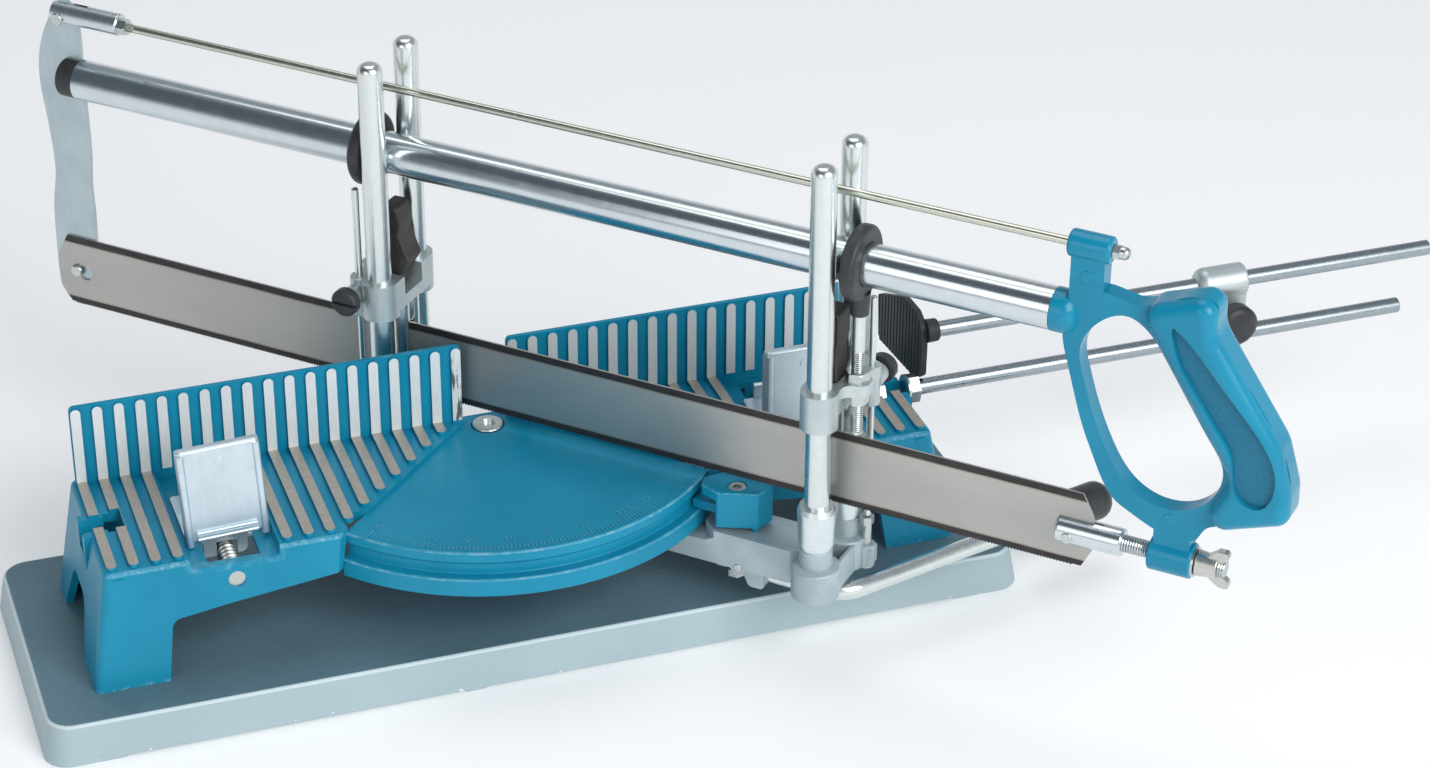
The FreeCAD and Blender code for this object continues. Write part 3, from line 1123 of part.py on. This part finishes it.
os.makedirs("parts", exist_ok=True)
for name, shape in NODES.items():
    shape.exportStep("parts/" + name + ".step")
    size = shape.BoundBox
    print(name, len(shape.Solids), "valid" if shape.isValid() else "INVALID",
          round(size.XLength, 1), round(size.YLength, 1), round(size.ZLength, 1))
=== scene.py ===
import math

import bmesh
import bpy
from mathutils import Matrix, Vector


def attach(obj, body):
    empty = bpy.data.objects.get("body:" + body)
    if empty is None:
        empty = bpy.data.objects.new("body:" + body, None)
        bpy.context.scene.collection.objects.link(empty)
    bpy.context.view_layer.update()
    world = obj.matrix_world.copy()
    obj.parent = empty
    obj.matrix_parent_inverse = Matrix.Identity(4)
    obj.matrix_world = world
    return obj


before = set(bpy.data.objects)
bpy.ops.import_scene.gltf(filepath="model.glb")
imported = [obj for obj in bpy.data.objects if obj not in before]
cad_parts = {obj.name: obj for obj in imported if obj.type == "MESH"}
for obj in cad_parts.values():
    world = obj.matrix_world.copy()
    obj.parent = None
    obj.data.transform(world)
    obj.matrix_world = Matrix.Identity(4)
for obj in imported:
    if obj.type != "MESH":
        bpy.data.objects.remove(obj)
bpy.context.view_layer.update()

MILLIMETRE = 0.001
MITRE = 45.0


# Camera

CAMERA_PLACE = (-0.3719, -1.4178, 0.9593)
CAMERA_LOOK = (0.2811, 0.8148, -0.5071)
CAMERA_ROLL = 0.006
LENS_LENGTH = 88.06
SENSOR_WIDTH = 36
FARTHEST_SEEN = 50


def camera():
    """Long lens from the front left, looking down at the saw."""
    look = Vector(CAMERA_LOOK).normalized()
    level = Vector((look.y, -look.x, 0)).normalized()
    rise = level.cross(look)
    right = level * math.cos(CAMERA_ROLL) + rise * math.sin(CAMERA_ROLL)
    upward = right.cross(look)
    lens = bpy.data.cameras.new("photo_camera")
    lens.lens = LENS_LENGTH
    lens.sensor_width = SENSOR_WIDTH
    lens.clip_end = FARTHEST_SEEN
    view = bpy.data.objects.new("photo_camera", lens)
    turn = Matrix((right, upward, -look)).transposed().to_4x4()
    view.matrix_world = Matrix.Translation(CAMERA_PLACE) @ turn
    bpy.context.scene.collection.objects.link(view)
    bpy.context.scene.camera = view


# Node trees

class Reading:
    """A value in a node tree; arithmetic on it adds Math nodes."""

    def __init__(self, board, socket):
        self.board = board
        self.socket = socket

    def calc(self, operation, *values):
        return self.board.node("ShaderNodeMath", {"operation": operation}, dict(enumerate(values)))

    def __add__(self, other):
        return self.calc("ADD", self, other)

    def __sub__(self, other):
        return self.calc("SUBTRACT", self, other)

    def __rsub__(self, other):
        return self.calc("SUBTRACT", other, self)

    def __mul__(self, other):
        return self.calc("MULTIPLY", self, other)

    def __neg__(self):
        return self * -1.0

    def __abs__(self):
        return self.calc("ABSOLUTE", self)

    __radd__ = __add__


class Board:
    """A node tree and the few ways in which it is filled."""

    def __init__(self, tree):
        self.tree = tree

    def node(self, kind, settings=None, inputs=None, output=0):
        made = self.tree.nodes.new(kind)
        for name, value in (settings or {}).items():
            setattr(made, name, value)
        for key, value in (inputs or {}).items():
            if isinstance(value, Reading):
                self.tree.links.new(value.socket, made.inputs[key])
            else:
                made.inputs[key].default_value = value
        return Reading(self, made.outputs[output])

    def rise(self, value, low, high):
        """Smooth step from 0 at low to 1 at high."""
        inputs = {"Value": value, "From Min": low, "From Max": high}
        return self.node("ShaderNodeMapRange", {"interpolation_type": "SMOOTHSTEP"}, inputs)

    def within(self, value, centre, half, soft=0.15):
        """1 inside centre plus or minus half, falling to 0 over soft."""
        return 1 - self.rise(abs(value - centre), half, half + soft)

    def mix(self, first, second, share):
        """Colour between first and second."""
        inputs = {0: share, 6: self.colour(first), 7: self.colour(second)}
        return self.node("ShaderNodeMix", {"data_type": "RGBA"}, inputs, 2)

    def colour(self, value):
        return value if isinstance(value, Reading) else (*value, 1.0)

    def vector(self, operation, *values, output=0):
        return self.node("ShaderNodeVectorMath", {"operation": operation}, dict(enumerate(values)), output)


class Finish(Board):
    """A procedural material in the piece's own millimetres, turned with the arm where asked."""

    def __init__(self, name, turned=False, **constants):
        self.material = bpy.data.materials.new(name)
        self.material.use_nodes = True
        super().__init__(self.material.node_tree)
        self.shader = self.tree.nodes["Principled BSDF"]
        turn = (0, 0, math.radians(MITRE) if turned else 0)
        raw = self.node("ShaderNodeTexCoord", output="Object")
        inputs = {"Vector": raw, "Rotation": turn, "Scale": (1 / MILLIMETRE,) * 3}
        self.place = self.node("ShaderNodeMapping", None, inputs)
        self.x, self.y, self.z = self.split(self.place)
        normal = self.node("ShaderNodeTexCoord", output="Normal")
        inputs = {"Vector": normal, "Rotation": turn}
        facing = self.node("ShaderNodeMapping", {"vector_type": "NORMAL"}, inputs)
        self.nx, self.ny, self.nz = self.split(facing)
        for key, value in constants.items():
            self.shader.inputs[key.replace("_", " ")].default_value = value

    def split(self, vector):
        made = self.node("ShaderNodeSeparateXYZ", None, {0: vector})
        outputs = made.socket.node.outputs
        return [Reading(self, socket) for socket in outputs]

    def grain(self, size, detail=2.0, stretch=(1, 1, 1), seed=0.0):
        """Noise from 0 to 1 with blotches of this size in millimetres."""
        scaled = self.vector("MULTIPLY", self.place, stretch)
        moved = self.vector("ADD", scaled, (seed, seed, seed))
        return self.node("ShaderNodeTexNoise", None, {"Vector": moved, "Scale": 1 / size, "Detail": detail})

    def blotch(self, size, low, high, detail=2.0, stretch=(1, 1, 1), seed=0.0):
        """Noise with its middle, from low to high, spread over 0 to 1."""
        return self.rise(self.grain(size, detail, stretch, seed), low, high)

    def wire(self, name, value):
        self.tree.links.new(value.socket, self.shader.inputs[name])

    def coat(self, colour, roughness=None, metal=None, height=None, depth=0.0):
        """Links what changes over the surface; height is 0 to 1 and depth is in millimetres."""
        self.wire("Base Color", colour)
        if roughness is not None:
            self.wire("Roughness", roughness)
        if metal is not None:
            self.wire("Metallic", metal)
        if height is not None:
            inputs = {"Strength": 1.0, "Distance": depth * MILLIMETRE, "Height": height}
            self.wire("Normal", self.node("ShaderNodeBump", None, inputs))
        return self.material


# Finishes

BLUE = (0.008, 0.275, 0.435)
BLUE_DEEP = (0.003, 0.220, 0.365)
BLUE_PALE = (0.13, 0.41, 0.55)
BLUE_WORN_AND_SHEEN = (0.34, 0.56, 0.66)
RECESS_SHADED = ((0.014, 0.20, 0.315), (0.008, 0.155, 0.26))
RIB_DULL = ((0.31, 0.28, 0.24), (0.55, 0.51, 0.46))
RIB_LIT_BRIGHT = ((0.74, 0.77, 0.76), (0.93, 0.95, 0.94))
SCRATCH = (0.14, 0.13, 0.12)
BOARD_TOP = ((0.080, 0.155, 0.195), (0.140, 0.240, 0.290))
BOARD_SIDE = ((0.32, 0.43, 0.47), (0.45, 0.56, 0.59))
BOARD_RIM_HIGHLIGHT = (0.66, 0.76, 0.80)
BOARD_NICK = (0.74, 0.80, 0.82)
FLECK = (0.25, 0.29, 0.31)
BLADE_GROUND = ((0.40, 0.395, 0.375), (0.54, 0.53, 0.50))
BLADE_DARK = ((0.035, 0.033, 0.035), (0.085, 0.08, 0.08))
BLADE_BROWN = (0.30, 0.20, 0.13)
SCUFF = (0.10, 0.095, 0.09)

# Places where a finish changes, in millimetres: z of each
RIB_TOP = 79.8
STROKE_TOP = 76.2
FOOT_EDGE = 20.4
SHOE_TOP = 79.6
BOARD_EDGE = 18.2
BLADE_TEETH = 83.85
BLADE_BACK = 122.85

# y of the fence's face and of the grip's recesses, x of the scratched rib and of the grip's start
FENCE_FACE = 2.7
RECESS_FLOOR = 9.1
FENCE_SCRATCH = -14.2
GRIP_START = 342

# y and z of two edges; x, y and z of the trough's lips; radius and z of the round edges
FRONT_EDGE = (-76.8, 77.2)
ARCH = (-81, 55.5)
TROUGH = (141.8, -76.5, 73.2)
SECTOR_EDGE = (114.9, 75.5)
FLANGE_EDGE = (118.2, 63.0)


def enamel(finish):
    """Blue enamel: its colour, with slow drifts in depth, and its orange peel."""
    drift = finish.blotch(45, 0.3, 0.7)
    fine = finish.grain(3, 3)
    colour = finish.mix(BLUE_DEEP, BLUE, drift * 0.6 + fine * 0.4)
    return colour, finish.grain(1.6, 1.0)


def table_enamel():
    """Enamel of the table casting: ribs ground bare; chips at the front and the feet; painted highlights
    along the front, the sector's rim and the flange, partly broken into worn blotches; paler blotches on
    the trough's lips and under the arch; the fence's bare face a brighter copy of the rib tops' metal, as
    painted light.
    """
    finish = Finish("table_enamel", Specular_IOR_Level=0.3)
    colour, peel = enamel(finish)
    x, y, z = finish.x, finish.y, finish.z
    up = finish.rise(finish.nz, 0.9, 0.97)
    flat = up * finish.within(z, RIB_TOP, 0.1)
    tall = finish.rise(-finish.ny, 0.9, 0.97) * finish.within(y, FENCE_FACE, 0.1)
    tall = tall * finish.rise(z, RIB_TOP - 0.8, RIB_TOP)
    across = finish.node("ShaderNodeCombineXYZ", None, {0: x, 1: y})
    radius = finish.vector("LENGTH", across, output=1)

    chips = finish.blotch(2.2, 0.5, 0.62, 3, seed=7)
    # Blotches for the paler spots below: partly worn paint, partly breaking up the painted highlights.
    wear_and_sheen_blotches = finish.blotch(5, 0.42, 0.7, 3, seed=3)
    front = finish.within(y, FRONT_EDGE[0], 0.7, 0.5) * finish.within(z, FRONT_EDGE[1], 0.9, 0.6)
    lip = finish.within(abs(x), TROUGH[0], 22, 2) * finish.within(y, TROUGH[1], 2.6, 1)
    lip = lip * finish.within(z, TROUGH[2], 1.6, 2)
    feet = finish.within(z, FOOT_EDGE, 0.7, 0.8)
    rim = finish.within(radius, SECTOR_EDGE[0], 0.5, 0.5) * finish.within(z, SECTOR_EDGE[1], 0.5, 0.4)
    flange = finish.within(radius, FLANGE_EDGE[0], 0.4, 0.5) * finish.within(z, FLANGE_EDGE[1], 0.4, 0.5)
    arch = finish.within(y, ARCH[0], 3, 3) * finish.within(z, ARCH[1], 4.5, 1)
    arch = arch * finish.rise(-finish.nz, 0.5, 0.9)
    # Chips at the front and the feet are worn paint. The paler blotches on the sector's rim and the flange
    # are partly worn paint, partly painted highlight; under the arch they make the downward faces paler.
    chipped = front * chips * 0.35 + feet * chips * 0.25
    worn_and_sheen = rim * wear_and_sheen_blotches * 0.4 + flange * wear_and_sheen_blotches * 0.35 + arch * wear_and_sheen_blotches * 0.2
    # Painted highlights: even pale bands along the sector's rim, the flange and the front. The trough's
    # lips are paler in blotches.
    colour = finish.mix(colour, BLUE_PALE, lip * wear_and_sheen_blotches * 0.5 + rim * 0.35 + flange * 0.3 + front * 0.3)
    colour = finish.mix(colour, BLUE_WORN_AND_SHEEN, chipped + worn_and_sheen)
    strokes = finish.within(z, STROKE_TOP, 0.12, 0.1) * up * finish.rise(-y, 20, 24)
    colour = finish.mix(colour, BLUE_PALE, strokes * 0.5)

    brushed = finish.grain(0.7, 3, (1, 0.12, 0.12), 4)
    table_metal = finish.mix(*RIB_DULL, brushed * 0.5 + finish.grain(4, 3) * 0.5)
    # Painted light: the fence's bare face gets a much brighter copy of the bare metal than the rib tops.
    lit_fence_metal = finish.mix(*RIB_LIT_BRIGHT, brushed)
    scratch = finish.blotch(2.4, 0.5, 0.6, 4, (1.2, 1, 0.16), 9) * finish.within(x, FENCE_SCRATCH, 2.6)
    lit_fence_metal = finish.mix(lit_fence_metal, SCRATCH, scratch)
    colour = finish.mix(colour, table_metal, flat)
    colour = finish.mix(colour, lit_fence_metal, tall)
    bare = flat + tall
    roughness = 0.3 + finish.grain(12, 2) * 0.1 + bare * 0.12
    return finish.coat(colour, roughness, bare * 0.35, peel + brushed * bare, 0.03)


def shoe_enamel():
    """Enamel of the clamp shoe, with a blotchy painted highlight along its top edges."""
    finish = Finish("shoe_enamel", True, Specular_IOR_Level=0.3)
    colour, peel = enamel(finish)
    # Painted highlight: paler where the rounded top turns up toward the lamps, broken into blotches.
    edge_highlight = finish.within(finish.z, SHOE_TOP, 0.5, 0.4) * finish.rise(-abs(finish.nz - 0.6), -0.4, -0.1)
    colour = finish.mix(colour, BLUE_PALE, edge_highlight * finish.blotch(3, 0.4, 0.6))
    return finish.coat(colour, 0.28 + finish.grain(9, 2) * 0.1, None, peel, 0.03)


def handle_enamel():
    """Enamel of the handle, with a stippled floor in the grip's recesses, darkened there as painted shade.
    """
    finish = Finish("handle_enamel", True, Coat_Weight=0.12, Coat_Roughness=0.08, Specular_IOR_Level=0.3)
    colour, peel = enamel(finish)
    floor = finish.within(abs(finish.y), RECESS_FLOOR, 0.15) * finish.rise(abs(finish.ny), 0.9, 0.97)
    floor = floor * finish.rise(finish.x, GRIP_START, GRIP_START + 2)
    cells = finish.node("ShaderNodeTexVoronoi", None, {"Vector": finish.place, "Scale": 0.95})
    stipple = finish.rise(cells, 0.1, 0.6)
    # Painted shade: the recess floor takes a darker blue, stippled with the floor's texture.
    colour = finish.mix(colour, finish.mix(*RECESS_SHADED, stipple), floor)
    roughness = 0.2 + finish.grain(14, 2) * 0.08 + floor * 0.3
    return finish.coat(colour, roughness, None, peel * 0.3 * (1 - floor) - stipple * floor, 0.07)


def board_lacquer():
    """Grey lacquer: darker and finely streaked on top, pale and speckled round the sides."""
    finish = Finish("board_lacquer", IOR=1.45)
    top = finish.rise(finish.nz, 0.75, 0.97)
    streak = finish.grain(1.5, 3, (0.22, 1, 1))
    cloud = finish.blotch(60, 0.3, 0.7, 2, seed=5)
    dark = finish.mix(*BOARD_TOP, streak * 0.75 + cloud * 0.25)
    speckle = finish.grain(0.8, 3, seed=2)
    side = finish.mix(*BOARD_SIDE, speckle * 0.8 + cloud * 0.2)
    # Painted highlight: the bevel above the sides, paler the more it tilts up.
    rim = finish.rise(finish.z, BOARD_EDGE, BOARD_EDGE + 0.7) * (1 - finish.rise(finish.nz, 0.90, 0.99))
    colour = finish.mix(side, dark, top)
    colour = finish.mix(colour, BOARD_RIM_HIGHLIGHT, rim * finish.rise(finish.nz, 0.15, 0.5) * 0.75)
    nick = finish.blotch(3.5, 0.66, 0.72, 3, seed=11) * finish.within(finish.z, 1.0, 1.2, 1)
    colour = finish.mix(colour, BOARD_NICK, nick)
    return finish.coat(colour, 0.42 + speckle * 0.12, None, streak * top + speckle * 0.4, 0.035)


def zinc(name, low, high, roughness=0.22, turned=True, spangle=4.0, thread=None):
    """Zinc plate: faintly clouded bright metal; thread is its axis, pitch, start and end."""
    finish = Finish(name, turned, Metallic=1.0)
    cloud = finish.grain(spangle, 2)
    spots = finish.blotch(spangle * 0.3, 0.60, 0.78, 1, seed=6)
    colour = finish.mix(low, high, cloud * 0.75 + spots * 0.25)
    rough = roughness + cloud * 0.06 + spots * 0.03
    if not thread:
        return finish.coat(colour, rough, None, cloud, 0.002)
    axis, pitch, start, end = thread
    along = getattr(finish, axis)
    groove = along.calc("PINGPONG", along, pitch / 2) * (2 / pitch)
    there = finish.within(along, (start + end) / 2, (end - start) / 2, 0.2)
    shadow = tuple(part * 0.35 for part in low)
    colour = finish.mix(colour, shadow, (1 - groove) * there * 0.8)
    return finish.coat(colour, rough, None, groove * there, pitch * 0.3)


def sheet_zinc(name, low, high, turned=False):
    """Pale zinc on pressed sheet, faintly rolled, with small dark flecks."""
    finish = Finish(name, turned, Metallic=0.8)
    rolled = finish.grain(2.5, 3, (1, 1, 0.15))
    cloud = finish.blotch(14, 0.3, 0.7, 3, seed=3)
    colour = finish.mix(low, high, rolled * 0.5 + cloud * 0.5)
    fleck = finish.blotch(1.3, 0.70, 0.78, 2, seed=8)
    colour = finish.mix(colour, FLECK, fleck * 0.6)
    return finish.coat(colour, 0.32 + cloud * 0.1, None, rolled, 0.02)


def cast_grey(name, low, high, metal):
    """Grey die casting, faintly clouded, with a fine skin."""
    finish = Finish(name, True, Metallic=metal)
    cloud = finish.blotch(16, 0.3, 0.7, 3)
    skin = finish.grain(1.1, 3)
    colour = finish.mix(low, high, cloud * 0.5 + skin * 0.5)
    return finish.coat(colour, 0.4 + skin * 0.12, None, skin, 0.04)


def blade_steel():
    """Ground blade: grey, with a dark band and a thin brown line along both edges."""
    finish = Finish("blade_steel", True, Metallic=0.85)
    z = finish.z
    fine = finish.grain(0.6, 3, (0.03, 1, 1))
    cloud = finish.blotch(50, 0.3, 0.7, 2, (0.4, 1, 1), 4)
    ground = finish.mix(*BLADE_GROUND, fine * 0.6 + cloud * 0.4)
    wander = finish.grain(18, 2, (0.5, 1, 1), 2) * 0.8
    from_edge = z.calc("MINIMUM", z - BLADE_TEETH, BLADE_BACK - z) + wander
    dark = finish.mix(*BLADE_DARK, finish.grain(2.5, 3, (0.2, 1, 1), 6))
    band = 1 - finish.rise(from_edge, 3.9, 4.4)
    brown = finish.within(from_edge, 4.45, 0.15, 0.3)
    flank = finish.rise(abs(finish.ny), 0.5, 0.9)
    colour = finish.mix(ground, dark, band * flank)
    colour = finish.mix(colour, BLADE_BROWN, brown * flank * 0.6)
    roughness = 0.34 + fine * 0.1 + band * 0.1
    return finish.coat(colour, roughness, None, fine, 0.01)


def moulding(name, dark, pale, roughness=0.42, scuffs=0.0, turned=True):
    """Black moulded plastic: a fine skin, and pale scuffs where it is handled."""
    finish = Finish(name, turned, IOR=1.48)
    skin = finish.grain(0.9, 3)
    cloud = finish.blotch(9, 0.3, 0.7, 3, seed=2)
    colour = finish.mix(dark, pale, cloud * 0.6 + skin * 0.4)
    scuff = finish.blotch(1.6, 0.60, 0.72, 4, (1, 1, 0.4), 5)
    colour = finish.mix(colour, SCUFF, scuff * scuffs)
    return finish.coat(colour, roughness + skin * 0.1 + scuff * 0.1, None, skin, 0.03)


# The darker and the lighter colour of each metal and moulding

BRIGHT = ((0.68, 0.73, 0.72), (0.84, 0.88, 0.87))
TUBE = ((0.60, 0.66, 0.69), (0.76, 0.81, 0.83))
SHEET = ((0.56, 0.66, 0.71), (0.72, 0.82, 0.87))
STOP = ((0.32, 0.36, 0.39), (0.46, 0.51, 0.54))
CAST = ((0.48, 0.55, 0.56), (0.66, 0.72, 0.72))
ARM = ((0.33, 0.41, 0.44), (0.50, 0.59, 0.62))
PLATE = ((0.42, 0.51, 0.54), (0.55, 0.64, 0.67))
COLLAR = ((0.72, 0.79, 0.79), (0.86, 0.92, 0.92))
YELLOW = ((0.56, 0.57, 0.48), (0.70, 0.71, 0.61))
ROD = ((0.56, 0.57, 0.53), (0.72, 0.73, 0.69))
NUT = ((0.52, 0.55, 0.54), (0.70, 0.73, 0.72))
BOLT = ((0.68, 0.72, 0.71), (0.84, 0.87, 0.86))
WING = ((0.52, 0.52, 0.49), (0.74, 0.74, 0.70))
RING_BLACK = ((0.018, 0.020, 0.022), (0.045, 0.048, 0.052))
CATCH_BLACK = ((0.016, 0.014, 0.013), (0.050, 0.044, 0.040))
KNOB_BLACK = ((0.016, 0.017, 0.019), (0.042, 0.046, 0.050))
STOP_BLACK = ((0.010, 0.013, 0.016), (0.028, 0.034, 0.038))
GRIP_BLACK = ((0.020, 0.022, 0.025), (0.050, 0.054, 0.060))


def paired(*names):
    """The front and the rear node of each name."""
    return [f"{name}_{end}" for name in names for end in ("front", "rear")]


def finishes():
    """Each finish with the nodes that it goes on."""
    yield table_enamel(), ["table_casting"]
    yield shoe_enamel(), ["clamp_shoe"]
    yield handle_enamel(), ["handle"]
    yield board_lacquer(), ["base_board"]
    yield zinc("post_zinc", *BRIGHT), ["guide_posts", "lever_rod"] + paired("blade_guides", "depth_rod")
    yield zinc("collar_zinc", *COLLAR, 0.32), ["post_collars"]
    yield zinc("tube_zinc", *TUBE, 0.16, spangle=6.0), ["frame_tube"]
    yield zinc("clevis_zinc", *TUBE, 0.2, thread=("x", 1.25, 328, 378)), ["blade_clevis"]
    yield zinc("tension_zinc", *TUBE, 0.24), ["tension_clevis"]
    yield zinc("yellow_zinc", *YELLOW, thread=("x", 0.7, -216, -190)), ["tension_rod"]
    yield zinc("stem_zinc", *BRIGHT, 0.3, thread=("z", 1.0, 126, 168)), paired("guide_stem")
    yield zinc("stop_zinc", *STOP, 0.24, False), ["stop_rail", "stop_rod"]
    yield zinc("rod_zinc", *ROD, 0.32, False), ["clamp_rods"]
    yield zinc("nut_zinc", *NUT, 0.27), [
        "tension_nuts", "plate_rivets", "blade_pin", "handle_washer", "shoe_screw", "lever_pin",
        "stop_rail_nuts", "board_screws", "pivot_fasteners", "depth_stop_screws", "lever_spring",
        *paired("stem_nuts")]
    yield zinc("bolt_zinc", *BOLT, 0.28, False), ["pivot_bolt"]
    yield zinc("wing_zinc", *WING, 0.28, spangle=2.0), ["wing_nut"]
    yield sheet_zinc("jaw_zinc", *SHEET), [
        "clamp_jaw_left", "clamp_jaw_right", "clamp_carriage_left", "clamp_carriage_right"]
    yield sheet_zinc("plate_zinc", *PLATE, True), ["end_plate"]
    yield cast_grey("bridge_cast", *CAST, 0.85), [*paired("bridge"), "stop_holder"]
    yield cast_grey("arm_cast", *ARM, 0.35), ["swivel_arm", "lever_block"]
    yield blade_steel(), ["blade"]
    yield moulding("ring_black", *RING_BLACK, 0.38), paired("ring_yoke", "ring_cap")
    yield moulding("catch_black", *CATCH_BLACK, 0.45, 0.5), paired("catch")
    yield moulding("knob_black", *KNOB_BLACK, 0.4, 0.2), [
        "stop_knob", "tube_plug", *paired("thumbscrew")]
    yield moulding("stop_black", *STOP_BLACK, 0.5, 0.1, False), ["stop_plate"]
    yield moulding("grip_black", *GRIP_BLACK, 0.34, 0.1), ["lever_grip"]


def dress():
    """Puts each finish in the slots of its nodes."""
    for material, nodes in finishes():
        for node in nodes:
            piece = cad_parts[node]
            if not piece.material_slots:
                piece.data.materials.append(material)
            for slot in piece.material_slots:
                slot.material = material


# Raised figures on the sector

SECTOR_TOP = 75.8
FIGURE_RADIUS = 103.5
FIGURE_SIZE = 5.6
FIGURE_RISE = 0.25
FIGURE_LIFT = 0.1
FIGURES = {-45: "45", -30: "30", -20: "20", -10: "10", 0: "0", 10: "10", 22.5: "22.5", 30: "30", 45: "45"}


def sector_figures():
    """Plain degree figures, raised in the casting's own enamel."""
    shape = bmesh.new()
    for degree, words in FIGURES.items():
        text = bpy.data.curves.new("figure", "FONT")
        text.body = words
        text.size = FIGURE_SIZE * MILLIMETRE
        text.extrude = FIGURE_RISE * MILLIMETRE
        text.align_x = "CENTER"
        text.align_y = "CENTER"
        drawn = bpy.data.objects.new("figure", text)
        mesh = bpy.data.meshes.new_from_object(drawn)
        turn = math.radians(degree)
        place = Vector((math.sin(turn), -math.cos(turn), 0)) * FIGURE_RADIUS
        place.z = SECTOR_TOP + FIGURE_LIFT
        mesh.transform(Matrix.Translation(place * MILLIMETRE) @ Matrix.Rotation(turn, 4, "Z"))
        shape.from_mesh(mesh)
        bpy.data.objects.remove(drawn)
    mesh = bpy.data.meshes.new("sector_figures")
    shape.to_mesh(mesh)
    shape.free()
    piece = bpy.data.objects.new("sector_figures", mesh)
    bpy.context.scene.collection.objects.link(piece)
    finish = Finish("figure_enamel")
    colour, peel = enamel(finish)
    piece.data.materials.append(finish.coat(finish.mix(colour, BLUE_PALE, 0.35), 0.3 + peel * 0.05))
    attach(piece, "base")


# Studio

FLOOR_HALF = 6
FLOOR_WHITES = ((0.93, 0.93, 0.94), (0.96, 0.96, 0.96))
SURROUND_LOW = (0.90, 0.91, 0.92)
SURROUND_HIGH = (0.30, 0.33, 0.36)
SURROUND_LEFT = (0.10, 0.12, 0.14)
LEFT = (-0.75, -0.15, 0.64)
LAMP_AIM = (0, 0, 0.1)


def studio():
    """Pale floor, soft lamps, and a surround: white low down, grey overhead, dark at upper left."""
    bpy.context.scene.view_settings.view_transform = "Standard"
    shape = bmesh.new()
    bmesh.ops.create_grid(shape, x_segments=1, y_segments=1, size=FLOOR_HALF)
    mesh = bpy.data.meshes.new("floor")
    shape.to_mesh(mesh)
    shape.free()
    floor = bpy.data.objects.new("floor", mesh)
    bpy.context.scene.collection.objects.link(floor)
    finish = Finish("floor_white", Roughness=0.9, Specular_IOR_Level=0.1, Emission_Strength=0.14,
                    Emission_Color=(1.0, 1.0, 1.0, 1.0))
    mesh.materials.append(finish.coat(finish.mix(*FLOOR_WHITES, finish.grain(400))))

    world = bpy.data.worlds.new("surround")
    bpy.context.scene.world = world
    world.use_nodes = True
    board = Board(world.node_tree)
    ray = board.node("ShaderNodeLightPath", output="Is Camera Ray")
    way = board.node("ShaderNodeTexCoord", output="Generated")
    high = board.vector("DOT_PRODUCT", way, (0, 0, 1), output=1)
    left = board.vector("DOT_PRODUCT", way, LEFT, output=1)
    shade = board.mix(SURROUND_LOW, SURROUND_HIGH, board.rise(high, 0.05, 0.5))
    shade = board.mix(shade, SURROUND_LEFT, board.rise(left, 0.60, 0.92))
    colour = board.mix(shade, (1.0, 1.0, 1.0), ray)
    background = world.node_tree.nodes["Background"]
    world.node_tree.links.new(colour.socket, background.inputs["Color"])
    background.inputs["Strength"].default_value = 1.0

    lamp("key", (0.7, -1.9, 1.5), 1.5, 37)
    lamp("fill", (-1.6, -1.3, 1.0), 1.2, 7)
    lamp("top", (0.1, 0.6, 2.2), 1.4, 11)


def lamp(name, place, size, power):
    """Square lamp turned to the middle of the saw."""
    light = bpy.data.lights.new(name, "AREA")
    light.size = size
    light.energy = power
    hung = bpy.data.objects.new(name, light)
    hung.location = place
    hung.rotation_mode = "QUATERNION"
    hung.rotation_quaternion = (Vector(LAMP_AIM) - hung.location).to_track_quat("-Z", "Y")
    bpy.context.scene.collection.objects.link(hung)


camera()
dress()
sector_figures()
studio()
